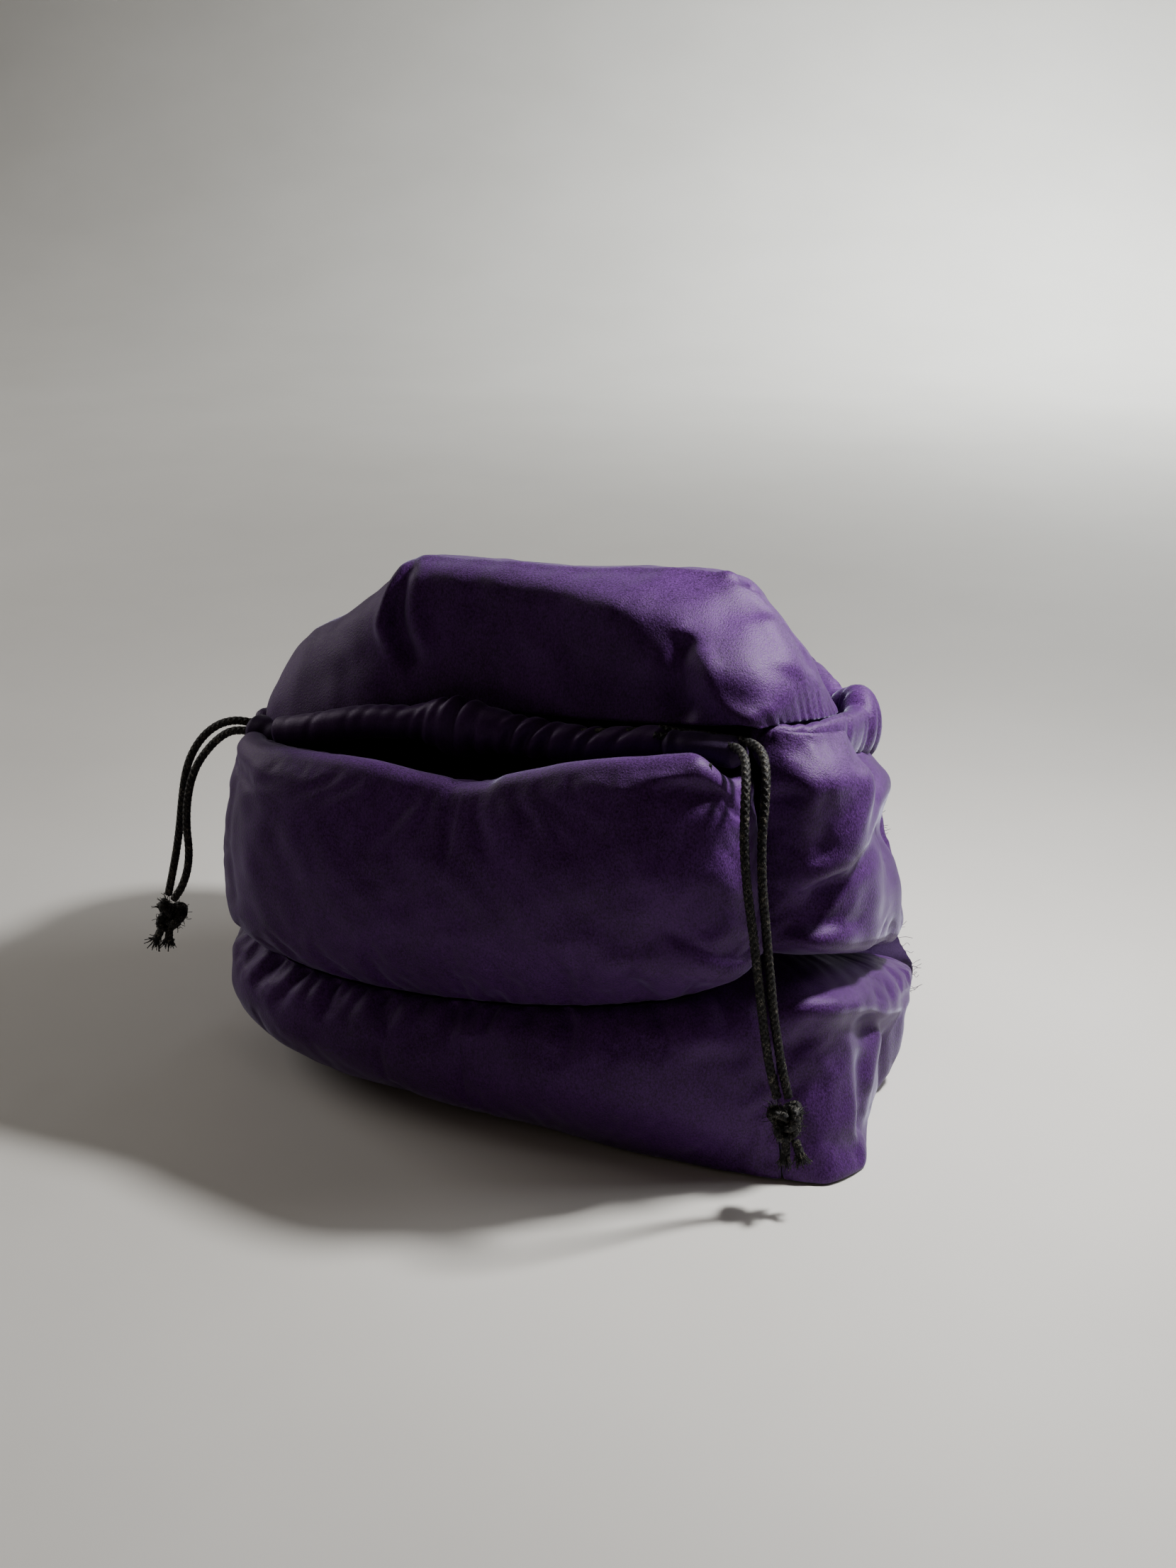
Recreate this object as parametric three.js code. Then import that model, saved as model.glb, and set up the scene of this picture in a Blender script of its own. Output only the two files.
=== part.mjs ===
// Drawstring dice bag: a lined satin sack standing on its base, mouth slack, lining pushed up
// into a hood over the mouth. Millimetres, +Z up, front of the bag towards -Y.
import * as THREE from 'three';
import * as BufferGeometryUtils from 'three/addons/utils/BufferGeometryUtils.js';

// ---- Driving dimensions -------------------------------------------------------------------
const HALF_WIDTH = 90;        // widest half width of the sack, along X
const HALF_DEPTH = 62;        // widest half depth of the sack, along Y
const CORNER_POWER = 3.6;     // plan outline: 2 is an ellipse, larger is squarer
const WALL = 3.0;             // outer satin with its wadding
const GAP = 0.35;             // clearance kept between neighbouring pieces
const BASE_INSET = 16;        // the base panel stops this far inside the widest outline
const BASE_THICK = 2.2;
const STIFFENER_THICK = 2.4;
const LINING_THICK = 1.4;
const LINING_INSET = 18;      // the lining wall hangs this far inside the widest outline
const TIER_SEAM_MID = 35;     // height of the gathered seam half way along the bag
const TIER_SEAM_TILT = 0.108; // the seam climbs to the right by this much per millimetre
const TIER_SEAM_BOW = 0.0014; // and by this much per square millimetre towards both ends
const TIER_SEAM_SAG = 0.36;   // on the right side it falls towards the back, per millimetre
const RIM_MID = 100.5;        // height of the mouth rim half way along the bag
const RIM_TILT = 0.13;
const RIM_DIP = 6;             // how far the front rim sags
const RIM_DIP_AT = -3;
const RIM_DIP_WIDTH = 24;
const RIM_SAG = 0.22;         // on the right side the rim falls towards the back, per millimetre
const SAG_FROM = -40;         // Y where both start to fall
const SEAM_RIGHT = -38;       // plan angle of the right side seam, degrees
const SEAM_LEFT = 200;        // plan angle of the left side seam, degrees
const SEAM_BACK_RIGHT = 38;   // plan angles of the two back corner seams, degrees
const SEAM_BACK_LEFT = 142;
const RIM_BAND_HEIGHT = 9;    // rolled band, or casing, along the top of the outer walls
const CASING_WALL = 1.2;      // one folded layer of satin
const CASING_WIDTH = 8.4;
const CORD_DIAMETER = 2.4;
const CORD_SIDES = 8;
const KNOT_LENGTH = 10.5;
const KNOT_RADIUS = 4.6;
const FRAY_LENGTH = 7;
const PULL_STRAIGHT = 26;     // straight stretch of each strand that can be drawn out

// ---- Colours ------------------------------------------------------------------------------
const SATIN = 0x42206b;
const SATIN_DARK = 0x2e1650;
const LINING = 0x3a1d60;
const BOARD = 0x8a8377;
const ELASTIC = 0x241238;
const BRAID = 0x15131a;

const bag = new THREE.Group();

function add(name, geometry, color, roughness = 0.45, parent = bag) {
  const material = new THREE.MeshStandardMaterial({ color, roughness, metalness: 0 });
  const mesh = new THREE.Mesh(geometry, material);
  mesh.name = name;
  parent.add(mesh);
  return mesh;
}

// ---- Plan outline and heights -------------------------------------------------------------
function plan(degrees, inset) {
  const angle = THREE.MathUtils.degToRad(degrees);
  const power = 2 / CORNER_POWER;
  const c = Math.cos(angle);
  const s = Math.sin(angle);
  const x = (HALF_WIDTH - inset) * Math.sign(c) * Math.abs(c) ** power;
  const y = (HALF_DEPTH - inset) * Math.sign(s) * Math.abs(s) ** power;
  return [x, y];
}

function tierSeam(x, y) {
  const sag = TIER_SEAM_SAG * Math.max(0, y - SAG_FROM) * THREE.MathUtils.smoothstep(x, 0, HALF_WIDTH);
  return TIER_SEAM_MID + TIER_SEAM_TILT * x + TIER_SEAM_BOW * x * x - sag;
}

function rimSag(x, y) {
  return RIM_SAG * Math.max(0, y - SAG_FROM) * THREE.MathUtils.smoothstep(x, HALF_WIDTH / 3, HALF_WIDTH);
}

function rim(x, y) {
  const away = (x - RIM_DIP_AT) / RIM_DIP_WIDTH;
  const front = THREE.MathUtils.smoothstep(-y, 0, HALF_DEPTH / 2);
  return RIM_MID + RIM_TILT * x - RIM_DIP * front * Math.exp(-away * away) - rimSag(x, y);
}

// ---- Closed solids from rings -------------------------------------------------------------
// Each ring is a closed loop of points. Neighbouring rings are joined by quads; the first and
// last rings are capped, or joined to each other when closed is true.
function loft(rings, closed = false) {
  const count = rings[0].length;
  const position = rings.flat().flat();
  const index = [];
  const last = closed ? rings.length : rings.length - 1;
  for (let i = 0; i < last; i++) {
    const a = i * count;
    const b = ((i + 1) % rings.length) * count;
    for (let j = 0; j < count; j++) {
      const k = (j + 1) % count;
      index.push(a + j, b + j, b + k, a + j, b + k, a + k);
    }
  }
  if (!closed) {
    capRing(index, 0, count, true);
    capRing(index, (rings.length - 1) * count, count, false);
  }
  const geometry = new THREE.BufferGeometry();
  geometry.setAttribute('position', new THREE.Float32BufferAttribute(position, 3));
  geometry.setIndex(index);
  return outward(geometry);
}

// A wall's ring runs up its outer face and down its inner one, so its cap is a ladder of quads.
function capRing(index, start, count, flip) {
  for (let j = 0; j < count / 2 - 1; j++) {
    const a = start + j;
    const b = start + j + 1;
    const c = start + count - 2 - j;
    const d = start + count - 1 - j;
    if (flip) index.push(a, b, c, a, c, d);
    else index.push(a, c, b, a, d, c);
  }
}

function outward(geometry) {
  const p = geometry.attributes.position;
  const index = geometry.index.array;
  const [a, b, c] = [new THREE.Vector3(), new THREE.Vector3(), new THREE.Vector3()];
  let volume = 0;
  for (let i = 0; i < index.length; i += 3) {
    a.fromBufferAttribute(p, index[i]);
    b.fromBufferAttribute(p, index[i + 1]);
    c.fromBufferAttribute(p, index[i + 2]);
    volume += a.dot(b.cross(c));
  }
  if (volume < 0) {
    for (let i = 0; i < index.length; i += 3) {
      [index[i + 1], index[i + 2]] = [index[i + 2], index[i + 1]];
    }
  }
  return geometry;
}

// A wall swept around the plan outline. outer(s) gives [inset, height share] for s from 0 to 1,
// and heights(x, y) gives the lowest and highest point of the wall there.
function wall({ from, to, steps, rows, outer, heights, thick }) {
  const closed = to - from >= 360;
  const rings = [];
  for (let i = 0; i <= steps - (closed ? 1 : 0); i++) {
    const angle = from + ((to - from) * i) / steps;
    const ring = [];
    for (const inner of [0, thick]) {
      const side = [];
      for (let j = 0; j <= rows; j++) {
        const [inset, share] = outer(j / rows);
        const [x, y] = plan(angle, inset + inner);
        const [mx, my] = plan(angle, inset);
        const [low, high] = heights(mx, my);
        side.push([x, y, low + (high - low) * share]);
      }
      ring.push(...(inner ? side.reverse() : side));
    }
    rings.push(ring);
  }
  return loft(rings, closed);
}

// A flat plate with the plan outline.
function plate(inset, low, thick, steps = 48) {
  const shape = new THREE.Shape();
  for (let i = 0; i < steps; i++) {
    const [x, y] = plan((360 * i) / steps, inset);
    if (i) shape.lineTo(x, y);
    else shape.moveTo(x, y);
  }
  shape.closePath();
  const geometry = new THREE.ExtrudeGeometry(shape, { depth: thick, bevelEnabled: false });
  return geometry.translate(0, 0, low);
}

// A solid of even thickness under a grid of points; rows run from front to back.
function quilt(grid, thick) {
  const rows = grid.length;
  const columns = grid[0].length;
  const at = (i, j) => new THREE.Vector3(...grid[THREE.MathUtils.clamp(i, 0, rows - 1)][
    THREE.MathUtils.clamp(j, 0, columns - 1)]);
  const rings = grid.map((row, i) => {
    const top = row.map((_, j) => at(i, j).toArray());
    const under = row.map((_, j) => {
      const across = at(i, j + 1).sub(at(i, j - 1));
      const along = at(i + 1, j).sub(at(i - 1, j));
      const normal = across.cross(along).normalize();
      return at(i, j).addScaledVector(normal, -thick).toArray();
    });
    return [...top, ...under.reverse()];
  });
  return loft(rings);
}

// ---- Base ---------------------------------------------------------------------------------
const stiffenerLow = BASE_THICK + GAP;
const floorLow = stiffenerLow + STIFFENER_THICK + GAP;
const liningLow = floorLow + LINING_THICK + GAP;
add('base_panel', plate(BASE_INSET, 0, BASE_THICK), SATIN_DARK, 0.5);
add('base_stiffener', plate(BASE_INSET + 1, stiffenerLow, STIFFENER_THICK), BOARD, 0.9);
add('lining_floor', plate(BASE_INSET + 1, floorLow, LINING_THICK), LINING, 0.5);

// ---- Outer walls in two puffed tiers ------------------------------------------------------
const SEAM_SLIT = 0.35;  // plan angle left open on each side of a plain seam, degrees
const FLANGE_SLIT = 1.1; // and of a seam whose raw edges stand out through it
const spans = {
  front: [SEAM_LEFT + SEAM_SLIT, 360 + SEAM_RIGHT - SEAM_SLIT, 28],
  right: [SEAM_RIGHT + SEAM_SLIT, SEAM_BACK_RIGHT - FLANGE_SLIT, 12],
  back: [SEAM_BACK_RIGHT + FLANGE_SLIT, SEAM_BACK_LEFT - FLANGE_SLIT, 16],
  left: [SEAM_BACK_LEFT + FLANGE_SLIT, SEAM_LEFT - SEAM_SLIT, 10],
};

function lowerPuff(s) {
  const bulge = Math.sin(Math.PI * Math.min(1, 0.1 + 0.9 * s)) ** 0.55;
  return [12.5 - 11.5 * bulge + s * s, s];
}

function upperPuff(s) {
  const bulge = Math.sin(Math.PI * (0.06 + 0.86 * s)) ** 0.6;
  return [10 - 10 * bulge + 2 * s * s, s];
}

function panelTop(x, y) {
  return rim(x, y) - RIM_BAND_HEIGHT;
}

const PANEL_ROWS = 6;
const tiers = {
  lower: { outer: lowerPuff, heights: (x, y) => [0, tierSeam(x, y) - GAP / 2] },
  upper: { outer: upperPuff, heights: (x, y) => [tierSeam(x, y) + GAP / 2, panelTop(x, y) - GAP / 2] },
};
for (const [tier, shape] of Object.entries(tiers)) {
  for (const [side, [from, to, steps]] of Object.entries(spans)) {
    const panel = wall({ from, to, steps, rows: PANEL_ROWS, thick: WALL, ...shape });
    add(`${tier}_${side}_panel`, panel, SATIN);
  }
}

// The raw edges of the two back corner seams stand out of the slits between the panels.
const FLANGE_THICK = 1.0;
const FLANGE_OUT = 4;
const FLANGE_IN = 13.5;
const FLANGE_ROWS = 10;
function seamFlange(degrees) {
  const [ox, oy] = plan(degrees, -FLANGE_OUT);
  const [ix, iy] = plan(degrees, FLANGE_IN);
  const along = new THREE.Vector2(ox - ix, oy - iy).normalize();
  const side = new THREE.Vector2(-along.y, along.x).multiplyScalar(FLANGE_THICK / 2);
  const rings = [];
  for (let i = 0; i <= FLANGE_ROWS; i++) {
    const z = 3 + ((panelTop(ox, oy) - 5) * i) / FLANGE_ROWS;
    const reach = 1 + 0.6 * Math.sin(2.1 * i);
    const tip = [ox + along.x * reach, oy + along.y * reach];
    rings.push([
      [ix - side.x, iy - side.y, z],
      [tip[0] - side.x, tip[1] - side.y, z],
      [tip[0] + side.x, tip[1] + side.y, z],
      [ix + side.x, iy + side.y, z],
    ]);
  }
  return loft(rings);
}
add('seam_edge_right', seamFlange(SEAM_BACK_RIGHT), SATIN_DARK, 0.7);
add('seam_edge_left', seamFlange(SEAM_BACK_LEFT), SATIN_DARK, 0.7);

// ---- Lining well and its pockets ----------------------------------------------------------
const LINING_TOP = 76;
const lining = wall({
  from: 0, to: 360, steps: 40, rows: 1, thick: LINING_THICK,
  outer: (s) => [LINING_INSET, s],
  heights: (x) => [liningLow, LINING_TOP + RIM_TILT * x],
});
add('lining_wall', lining, LINING, 0.5);

const POCKET_INSET = 30;
const POCKET_THICK = 1.2;
const ELASTIC_HEIGHT = 4;
const pockets = { front: [212, 328, 7], back: [32, 148, 0] };
for (const [side, [from, to, lift]] of Object.entries(pockets)) {
  const top = (x) => LINING_TOP + lift + RIM_TILT * x;
  const shared = { from, to, steps: 18, outer: (s) => [POCKET_INSET, s] };
  const panel = wall({ ...shared, rows: 2, thick: POCKET_THICK, heights: (x) => [liningLow, top(x)] });
  add(`${side}_pocket_panel`, panel, LINING, 0.5);
  const hem = wall({
    ...shared, rows: 1, thick: POCKET_THICK + 1.2,
    heights: (x) => [top(x) + GAP, top(x) + GAP + ELASTIC_HEIGHT],
  });
  add(`${side}_pocket_elastic_hem`, hem, ELASTIC, 0.7);
}

// ---- Rim: the front casing and the rolled band that carries the hood ----------------------
// A casing is a channel open downwards; the cords run inside it one above the other.
const CASING_FROM = 214;
const CASING_TO = 304;
const CASING_INSET = 4.2;
function channel(stations, width, height) {
  const w = width / 2;
  const rings = stations.map(({ at, across }) => {
    const point = (u, v) => [at[0] + across[0] * u, at[1] + across[1] * u, at[2] + v];
    const inner = w - CASING_WALL;
    return [
      point(w, 0), point(w, height - 2), point(w - 1.6, height),
      point(1.6 - w, height), point(-w, height - 2), point(-w, 0),
      point(-inner, 0), point(-inner, height - CASING_WALL - 1.2), point(0.8 - inner, height - CASING_WALL),
      point(inner - 0.8, height - CASING_WALL), point(inner, height - CASING_WALL - 1.2), point(inner, 0),
    ];
  });
  return loft(rings);
}

function rimStation(degrees, inset) {
  const [x, y] = plan(degrees, inset);
  const [ox, oy] = plan(degrees, inset - 1);
  const across = new THREE.Vector2(ox - x, oy - y).normalize().toArray();
  return { at: [x, y, panelTop(x, y) + GAP / 2], across };
}

const CASING_STEPS = 16;
const casingMiddle = CASING_INSET + CASING_WIDTH / 2;
const frontStations = [];
for (let i = 0; i <= CASING_STEPS; i++) {
  const angle = CASING_FROM + ((CASING_TO - CASING_FROM) * i) / CASING_STEPS;
  frontStations.push(rimStation(angle, casingMiddle));
}
add('front_casing', channel(frontStations, CASING_WIDTH, RIM_BAND_HEIGHT - GAP), SATIN);

const BAND_CLEARANCE = 1.1; // the panels' and the band's facets don't line up
const bandProfile = [[5.2, 0], [3.2, 0.35], [3.0, 0.7], [5.0, 1]];
const band = wall({
  from: SEAM_RIGHT + 16, to: SEAM_LEFT - 9, steps: 30, rows: 3, thick: 5,
  outer: (s) => bandProfile[Math.round(3 * s)],
  heights: (x, y) => [panelTop(x, y) + BAND_CLEARANCE, rim(x, y)],
});
add('rim_band', band, SATIN);

// ---- Hood: the lining and back panel pushed up over the mouth -----------------------------
// Stations run from the left mouth corner to the right one; each goes from the lip over the
// ridge to the back edge.
const HOOD_THICK = 1.8;
const HOOD_STATIONS = [
  [[-75, -22, 96.5], [-77, -19, 99], [-78, -10, 100.5], [-78, 2, 100], [-77, 14, 99], [-74, 26, 97]],
  [[-66, -25, 98], [-69, -22, 107], [-70, -15, 111.5], [-70, 8, 112], [-69, 28, 107], [-65, 41, 98]],
  [[-53, -29, 100.5], [-54, -26, 112], [-55, -19, 121.5], [-55, 8, 122], [-55, 32, 114], [-54, 45, 99]],
  [[-31, -31, 102.5], [-31, -28.5, 120], [-32, -20, 137], [-32, 8, 135], [-33, 34, 120], [-34, 48, 100]],
  [[0, -32, 104.5], [1, -29.5, 121], [2, -21.5, 137.5], [3, 12, 135], [2, 35, 121], [0, 48, 103]],
  [[30, -32, 108], [31, -29, 123], [32, -19.5, 139.5], [32, 12, 138], [31, 35, 123], [30, 48, 107]],
  [[50, -31, 112.5], [54, -25, 126], [54, -10, 139.5], [54, 12, 138], [53, 33, 126], [50, 46, 110]],
  [[63, -28, 113], [70, -21, 119], [72, -8, 121.5], [72, 8, 120], [69, 26, 118], [64, 39, 113]],
  [[71, -22, 111.5], [77, -14, 113], [79, -5, 113], [79, 6, 113], [77, 18, 113], [72, 29, 112.5]],
].map((station) => station.map(([x, y, z]) => [x, y, z - rimSag(x, y)]));
const HOOD_COLUMNS = 16;
const HOOD_ROWS = 11;
function throughPoints(points, count) {
  const curve = new THREE.CatmullRomCurve3(points.map((p) => new THREE.Vector3(...p)), false, 'centripetal');
  return curve.getPoints(count).map((p) => p.toArray());
}
const alongStations = HOOD_STATIONS.map((station) => throughPoints(station, HOOD_ROWS));
const hoodGrid = alongStations[0].map((_, j) => {
  return throughPoints(alongStations.map((station) => station[j]), HOOD_COLUMNS);
});

const flap = new THREE.Group();
bag.add(flap);
add('hood_panel', quilt(hoodGrid, HOOD_THICK), SATIN, 0.4, flap);

// The back casing runs along the hood's lip, inside the mouth.
const BACK_CASING_WIDTH = 7;
const BACK_CASING_HEIGHT = 8;
const BACK_CASING_ROUTE = [
  [-47, -35.8, 94], [-30, -36.6, 95], [-12, -37, 96], [6, -37.2, 97], [22, -37.2, 99], [38, -37, 101.5],
];
const backStations = BACK_CASING_ROUTE.map((at) => ({ at, across: [0, -1] }));
add('back_casing', channel(backStations, BACK_CASING_WIDTH, BACK_CASING_HEIGHT), LINING, 0.5, flap);

// ---- Cords --------------------------------------------------------------------------------
function tube(points, steps, radius = CORD_DIAMETER / 2) {
  const curve = new THREE.CatmullRomCurve3(points.map((p) => new THREE.Vector3(...p)), false, 'centripetal');
  const section = new THREE.Shape();
  for (let i = 0; i < CORD_SIDES; i++) {
    const angle = (2 * Math.PI * i) / CORD_SIDES;
    const x = radius * Math.cos(angle);
    const y = radius * Math.sin(angle);
    if (i) section.lineTo(x, y);
    else section.moveTo(x, y);
  }
  section.closePath();
  return new THREE.ExtrudeGeometry(section, { steps, extrudePath: curve, bevelEnabled: false });
}

// The runs that stay inside the two casings, one cord above the other.
const RUN_LIFTS = { left: 2.85, right: 5.45 };
for (const [cord, lift] of Object.entries(RUN_LIFTS)) {
  const raise = ({ at }) => [at[0], at[1], at[2] + lift];
  add(`${cord}_cord_front_run`, tube(frontStations.map(raise), 24), BRAID, 0.8);
  add(`${cord}_cord_back_run`, tube(backStations.map(raise), 12), BRAID, 0.8, flap);
}

// Short tunnels at the mouth corners guide the two strands of each drawstring out.
const SLEEVE_WIDTH = 8.6;
const SLEEVE_HEIGHT = 7.4;
const mouthCorners = {
  left: { at: [-78, -30.1, 86.4], inward: 1 },
  right: { at: [66, -38, 104.6], inward: -1 },
};
for (const [side, { at, inward }] of Object.entries(mouthCorners)) {
  const far = [at[0] + inward * PULL_STRAIGHT, at[1], at[2]];
  const ends = inward > 0 ? [at, far] : [far, at];
  const stations = ends.map((end) => ({ at: end, across: [0, -1] }));
  add(`${side}_corner_sleeve`, channel(stations, SLEEVE_WIDTH, SLEEVE_HEIGHT), SATIN_DARK);
}

// Free strands: straight inside the sleeve, then out and down to the knot.
const STRANDS = {
  left: {
    a: [
      [-53, -28.6, 89.9], [-62, -28.6, 89.9], [-71, -28.6, 89.9], [-79, -28.6, 89.9], [-84.5, -28.8, 89.8],
      [-89, -29.2, 88.4], [-93, -29.6, 85.7], [-96.4, -30, 81.9], [-99.2, -30.4, 77], [-101, -30.7, 71.5],
      [-102.2, -31.2, 64.5], [-103.2, -31.6, 57.5], [-104.5, -32, 50.5], [-106, -32.6, 43.5], [-107.6, -33.2, 36.7],
    ],
    b: [
      [-53, -31.6, 88.6], [-62, -31.6, 88.6], [-71, -31.6, 88.6], [-79, -31.6, 88.6], [-84, -31.8, 87.8],
      [-88, -32.1, 85.3], [-92, -32.5, 81.2], [-95.3, -32.8, 76.5], [-97.6, -33.1, 71], [-98.9, -33.5, 64.5],
      [-99.2, -33.9, 58], [-98.8, -34.3, 52], [-99.4, -34.7, 46.5], [-101.4, -35.1, 41], [-104.2, -35.4, 36.7],
    ],
    knot: [-106.6, -34.3, 31],
    lean: [-0.35, 0, -1],
  },
  right: {
    a: [
      [41, -39.5, 107.2], [50, -39.5, 107.2], [59, -39.5, 107.2], [66.5, -39.6, 107.2], [71, -41.4, 107],
      [74.3, -45.2, 105.4], [76, -49.5, 101.8], [76.5, -52.5, 96], [76.4, -54.4, 86], [76.2, -55, 72],
      [76.2, -55.4, 58], [76.8, -55.8, 45], [78.4, -56.4, 35], [80.6, -57, 28.2],
    ],
    b: [
      [41, -36.5, 108], [50, -36.5, 108], [59, -36.5, 108], [67, -36.6, 108], [72.5, -38.6, 107.6],
      [77, -42.8, 105.6], [79.4, -47.2, 101.8], [80.2, -50.4, 96], [80, -52.6, 86], [79.6, -53.2, 72],
      [79.6, -53.6, 58], [80.2, -54, 45], [81.6, -54.8, 35], [83.6, -55.6, 28.2],
    ],
    knot: [82.8, -56.6, 22.4],
    lean: [0.25, -0.1, -1],
  },
};
const STRAND_STEPS = 26;
for (const [side, { a, b, knot, lean }] of Object.entries(STRANDS)) {
  add(`${side}_strand_a`, tube(a, STRAND_STEPS), BRAID, 0.8);
  add(`${side}_strand_b`, tube(b, STRAND_STEPS), BRAID, 0.8);
  const down = new THREE.Vector3(...lean).normalize();
  const upright = new THREE.Quaternion().setFromUnitVectors(new THREE.Vector3(0, 0, -1), down);
  const ball = new THREE.SphereGeometry(1, 12, 8).scale(KNOT_RADIUS, KNOT_RADIUS, KNOT_LENGTH / 2);
  const ballMesh = add(`${side}_knot`, BufferGeometryUtils.mergeVertices(ball), BRAID, 0.9);
  ballMesh.quaternion.copy(upright);
  ballMesh.position.set(...knot);
  const tuft = new THREE.CylinderGeometry(1.9, 3.1, FRAY_LENGTH, 10).rotateX(Math.PI / 2);
  const tuftMesh = add(`${side}_frayed_ends`, tuft, BRAID, 1);
  tuftMesh.quaternion.copy(upright);
  tuftMesh.position.set(...knot).addScaledVector(down, KNOT_LENGTH / 2 + GAP + FRAY_LENGTH / 2);
}

export default bag;
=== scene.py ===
"""Drawstring dice bag: satin panels, hood, mouth, cords, studio. Metres in Blender, millimetres here."""
import math

import bpy
import numpy as np
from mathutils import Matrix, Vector


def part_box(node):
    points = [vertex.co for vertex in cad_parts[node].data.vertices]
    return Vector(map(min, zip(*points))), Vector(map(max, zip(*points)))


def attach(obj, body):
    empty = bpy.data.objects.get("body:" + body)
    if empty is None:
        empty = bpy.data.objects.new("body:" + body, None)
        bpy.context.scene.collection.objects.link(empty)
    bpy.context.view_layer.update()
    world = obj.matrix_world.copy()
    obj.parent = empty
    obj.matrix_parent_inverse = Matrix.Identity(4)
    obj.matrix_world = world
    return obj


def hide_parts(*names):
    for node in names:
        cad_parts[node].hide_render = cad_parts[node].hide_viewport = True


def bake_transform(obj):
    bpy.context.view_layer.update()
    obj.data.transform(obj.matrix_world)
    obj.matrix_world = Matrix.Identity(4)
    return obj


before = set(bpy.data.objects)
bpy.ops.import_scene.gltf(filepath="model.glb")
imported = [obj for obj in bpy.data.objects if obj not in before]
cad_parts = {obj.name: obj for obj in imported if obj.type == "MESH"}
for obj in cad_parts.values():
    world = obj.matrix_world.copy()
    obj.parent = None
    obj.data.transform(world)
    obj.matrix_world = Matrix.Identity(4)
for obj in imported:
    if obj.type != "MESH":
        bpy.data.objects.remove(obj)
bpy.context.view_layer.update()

MM = 0.001


# ---- Camera: the photograph's viewing angle
AZIMUTH, ELEVATION, DISTANCE = 25.0, 22.0, 0.560  # of the camera, seen from the bag
LOOK_AZIMUTH, LOOK_ELEVATION = 24.42, 20.76  # where it points, so that the bag sits low in the frame
AIM = Vector((0, 0, 0.062))


def toward(azimuth, elevation):
    a, e = math.radians(azimuth), math.radians(elevation)
    return Vector((math.sin(a) * math.cos(e), -math.cos(a) * math.cos(e), math.sin(e)))


def add_object(name, data):
    new = bpy.data.objects.new(name, data)
    bpy.context.scene.collection.objects.link(new)
    return new


def make_camera():
    data = bpy.data.cameras.new("camera")
    data.sensor_fit = "VERTICAL"
    data.sensor_height = 36
    data.lens = 47.95  # millimetres
    camera = add_object("camera", data)
    camera.location = AIM + DISTANCE * toward(AZIMUTH, ELEVATION)
    look = -toward(LOOK_AZIMUTH, LOOK_ELEVATION)
    camera.rotation_euler = look.to_track_quat("-Z", "Y").to_euler()
    bpy.context.scene.camera = camera


make_camera()


# ---- Materials
class Nodes:
    """A material's node tree, with short calls to add and join nodes."""

    def __init__(self, name):
        self.material = bpy.data.materials.new(name)
        self.material.use_nodes = True
        self.tree = self.material.node_tree
        self.shader = self.tree.nodes["Principled BSDF"]

    def add(self, kind, inputs=None, **settings):
        node = self.tree.nodes.new(kind)
        for key, value in settings.items():
            setattr(node, key, value)
        self.fill(node, inputs or {})
        return node

    def fill(self, node, inputs):
        """Give a node's inputs their values, or join them to other nodes' sockets."""
        for key, value in inputs.items():
            if isinstance(value, bpy.types.NodeSocket):
                self.link(value, node.inputs[key])
            else:
                node.inputs[key].default_value = value

    def surface(self, inputs):
        self.fill(self.shader, inputs)
        return self.material

    def link(self, source, target):
        self.tree.links.new(source, target)

    def coords(self):
        return self.add("ShaderNodeTexCoord").outputs["Object"]

    def noise(self, scale, detail=3.0, rough=0.5, vector=None):
        node = self.add("ShaderNodeTexNoise", {"Scale": scale, "Detail": detail, "Roughness": rough})
        self.link(vector or self.coords(), node.inputs["Vector"])
        return node.outputs["Fac"]

    def stretch(self, scale):
        return self.add("ShaderNodeMapping", {"Vector": self.coords(), "Scale": scale}).outputs["Vector"]

    def math(self, operation, a, b=0.0):
        return self.add("ShaderNodeMath", {0: a, 1: b}, operation=operation).outputs[0]

    def ramp(self, fac, stops):
        node = self.add("ShaderNodeValToRGB", {"Fac": fac})
        ramp = node.color_ramp
        while len(ramp.elements) < len(stops):
            ramp.elements.new(0.5)
        for element, (place, color) in zip(ramp.elements, stops):
            element.position = place
            element.color = (*color, 1)
        return node.outputs["Color"]

    def bump(self, height, strength, distance, normal=None):
        node = self.add("ShaderNodeBump", {"Height": height, "Strength": strength, "Distance": distance})
        if normal:
            self.link(normal, node.inputs["Normal"])
        return node.outputs["Normal"]


def satin(name, dark, light, rough=0.52, sheen=0.28, weave=1.0):
    """Warp-faced satin: fine thread floats, slubs, a soft broken gloss and faint creasing."""
    n = Nodes(name)
    tone = n.noise(60, 4, 0.6)
    slub = n.noise(1.0, 3, 0.75, n.stretch((2300, 2300, 1500)))
    mixed = n.math("ADD", n.math("MULTIPLY", tone, 0.2), n.math("MULTIPLY", slub, 0.8))
    threads = n.noise(1.0, 2, 0.6, n.stretch((2600, 2600, 1700)))
    creases = n.noise(1.0, 4, 0.55, n.stretch((95, 95, 60)))
    return n.surface({
        "Base Color": n.ramp(mixed, [(0.38, dark), (0.64, light)]),
        "Roughness": n.math("ADD", n.math("MULTIPLY", slub, 0.5), rough - 0.23),
        "Sheen Weight": sheen,
        "Sheen Roughness": 0.35,
        "Sheen Tint": (0.74, 0.74, 1, 1),
        "Specular IOR Level": 0.27,
        "Anisotropic": 0.45,
        "Specular Tint": (0.78, 0.6, 1, 1),
        "Normal": n.bump(creases, 0.12, 0.0012, n.bump(threads, weave, 0.00012)),
    })


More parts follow.
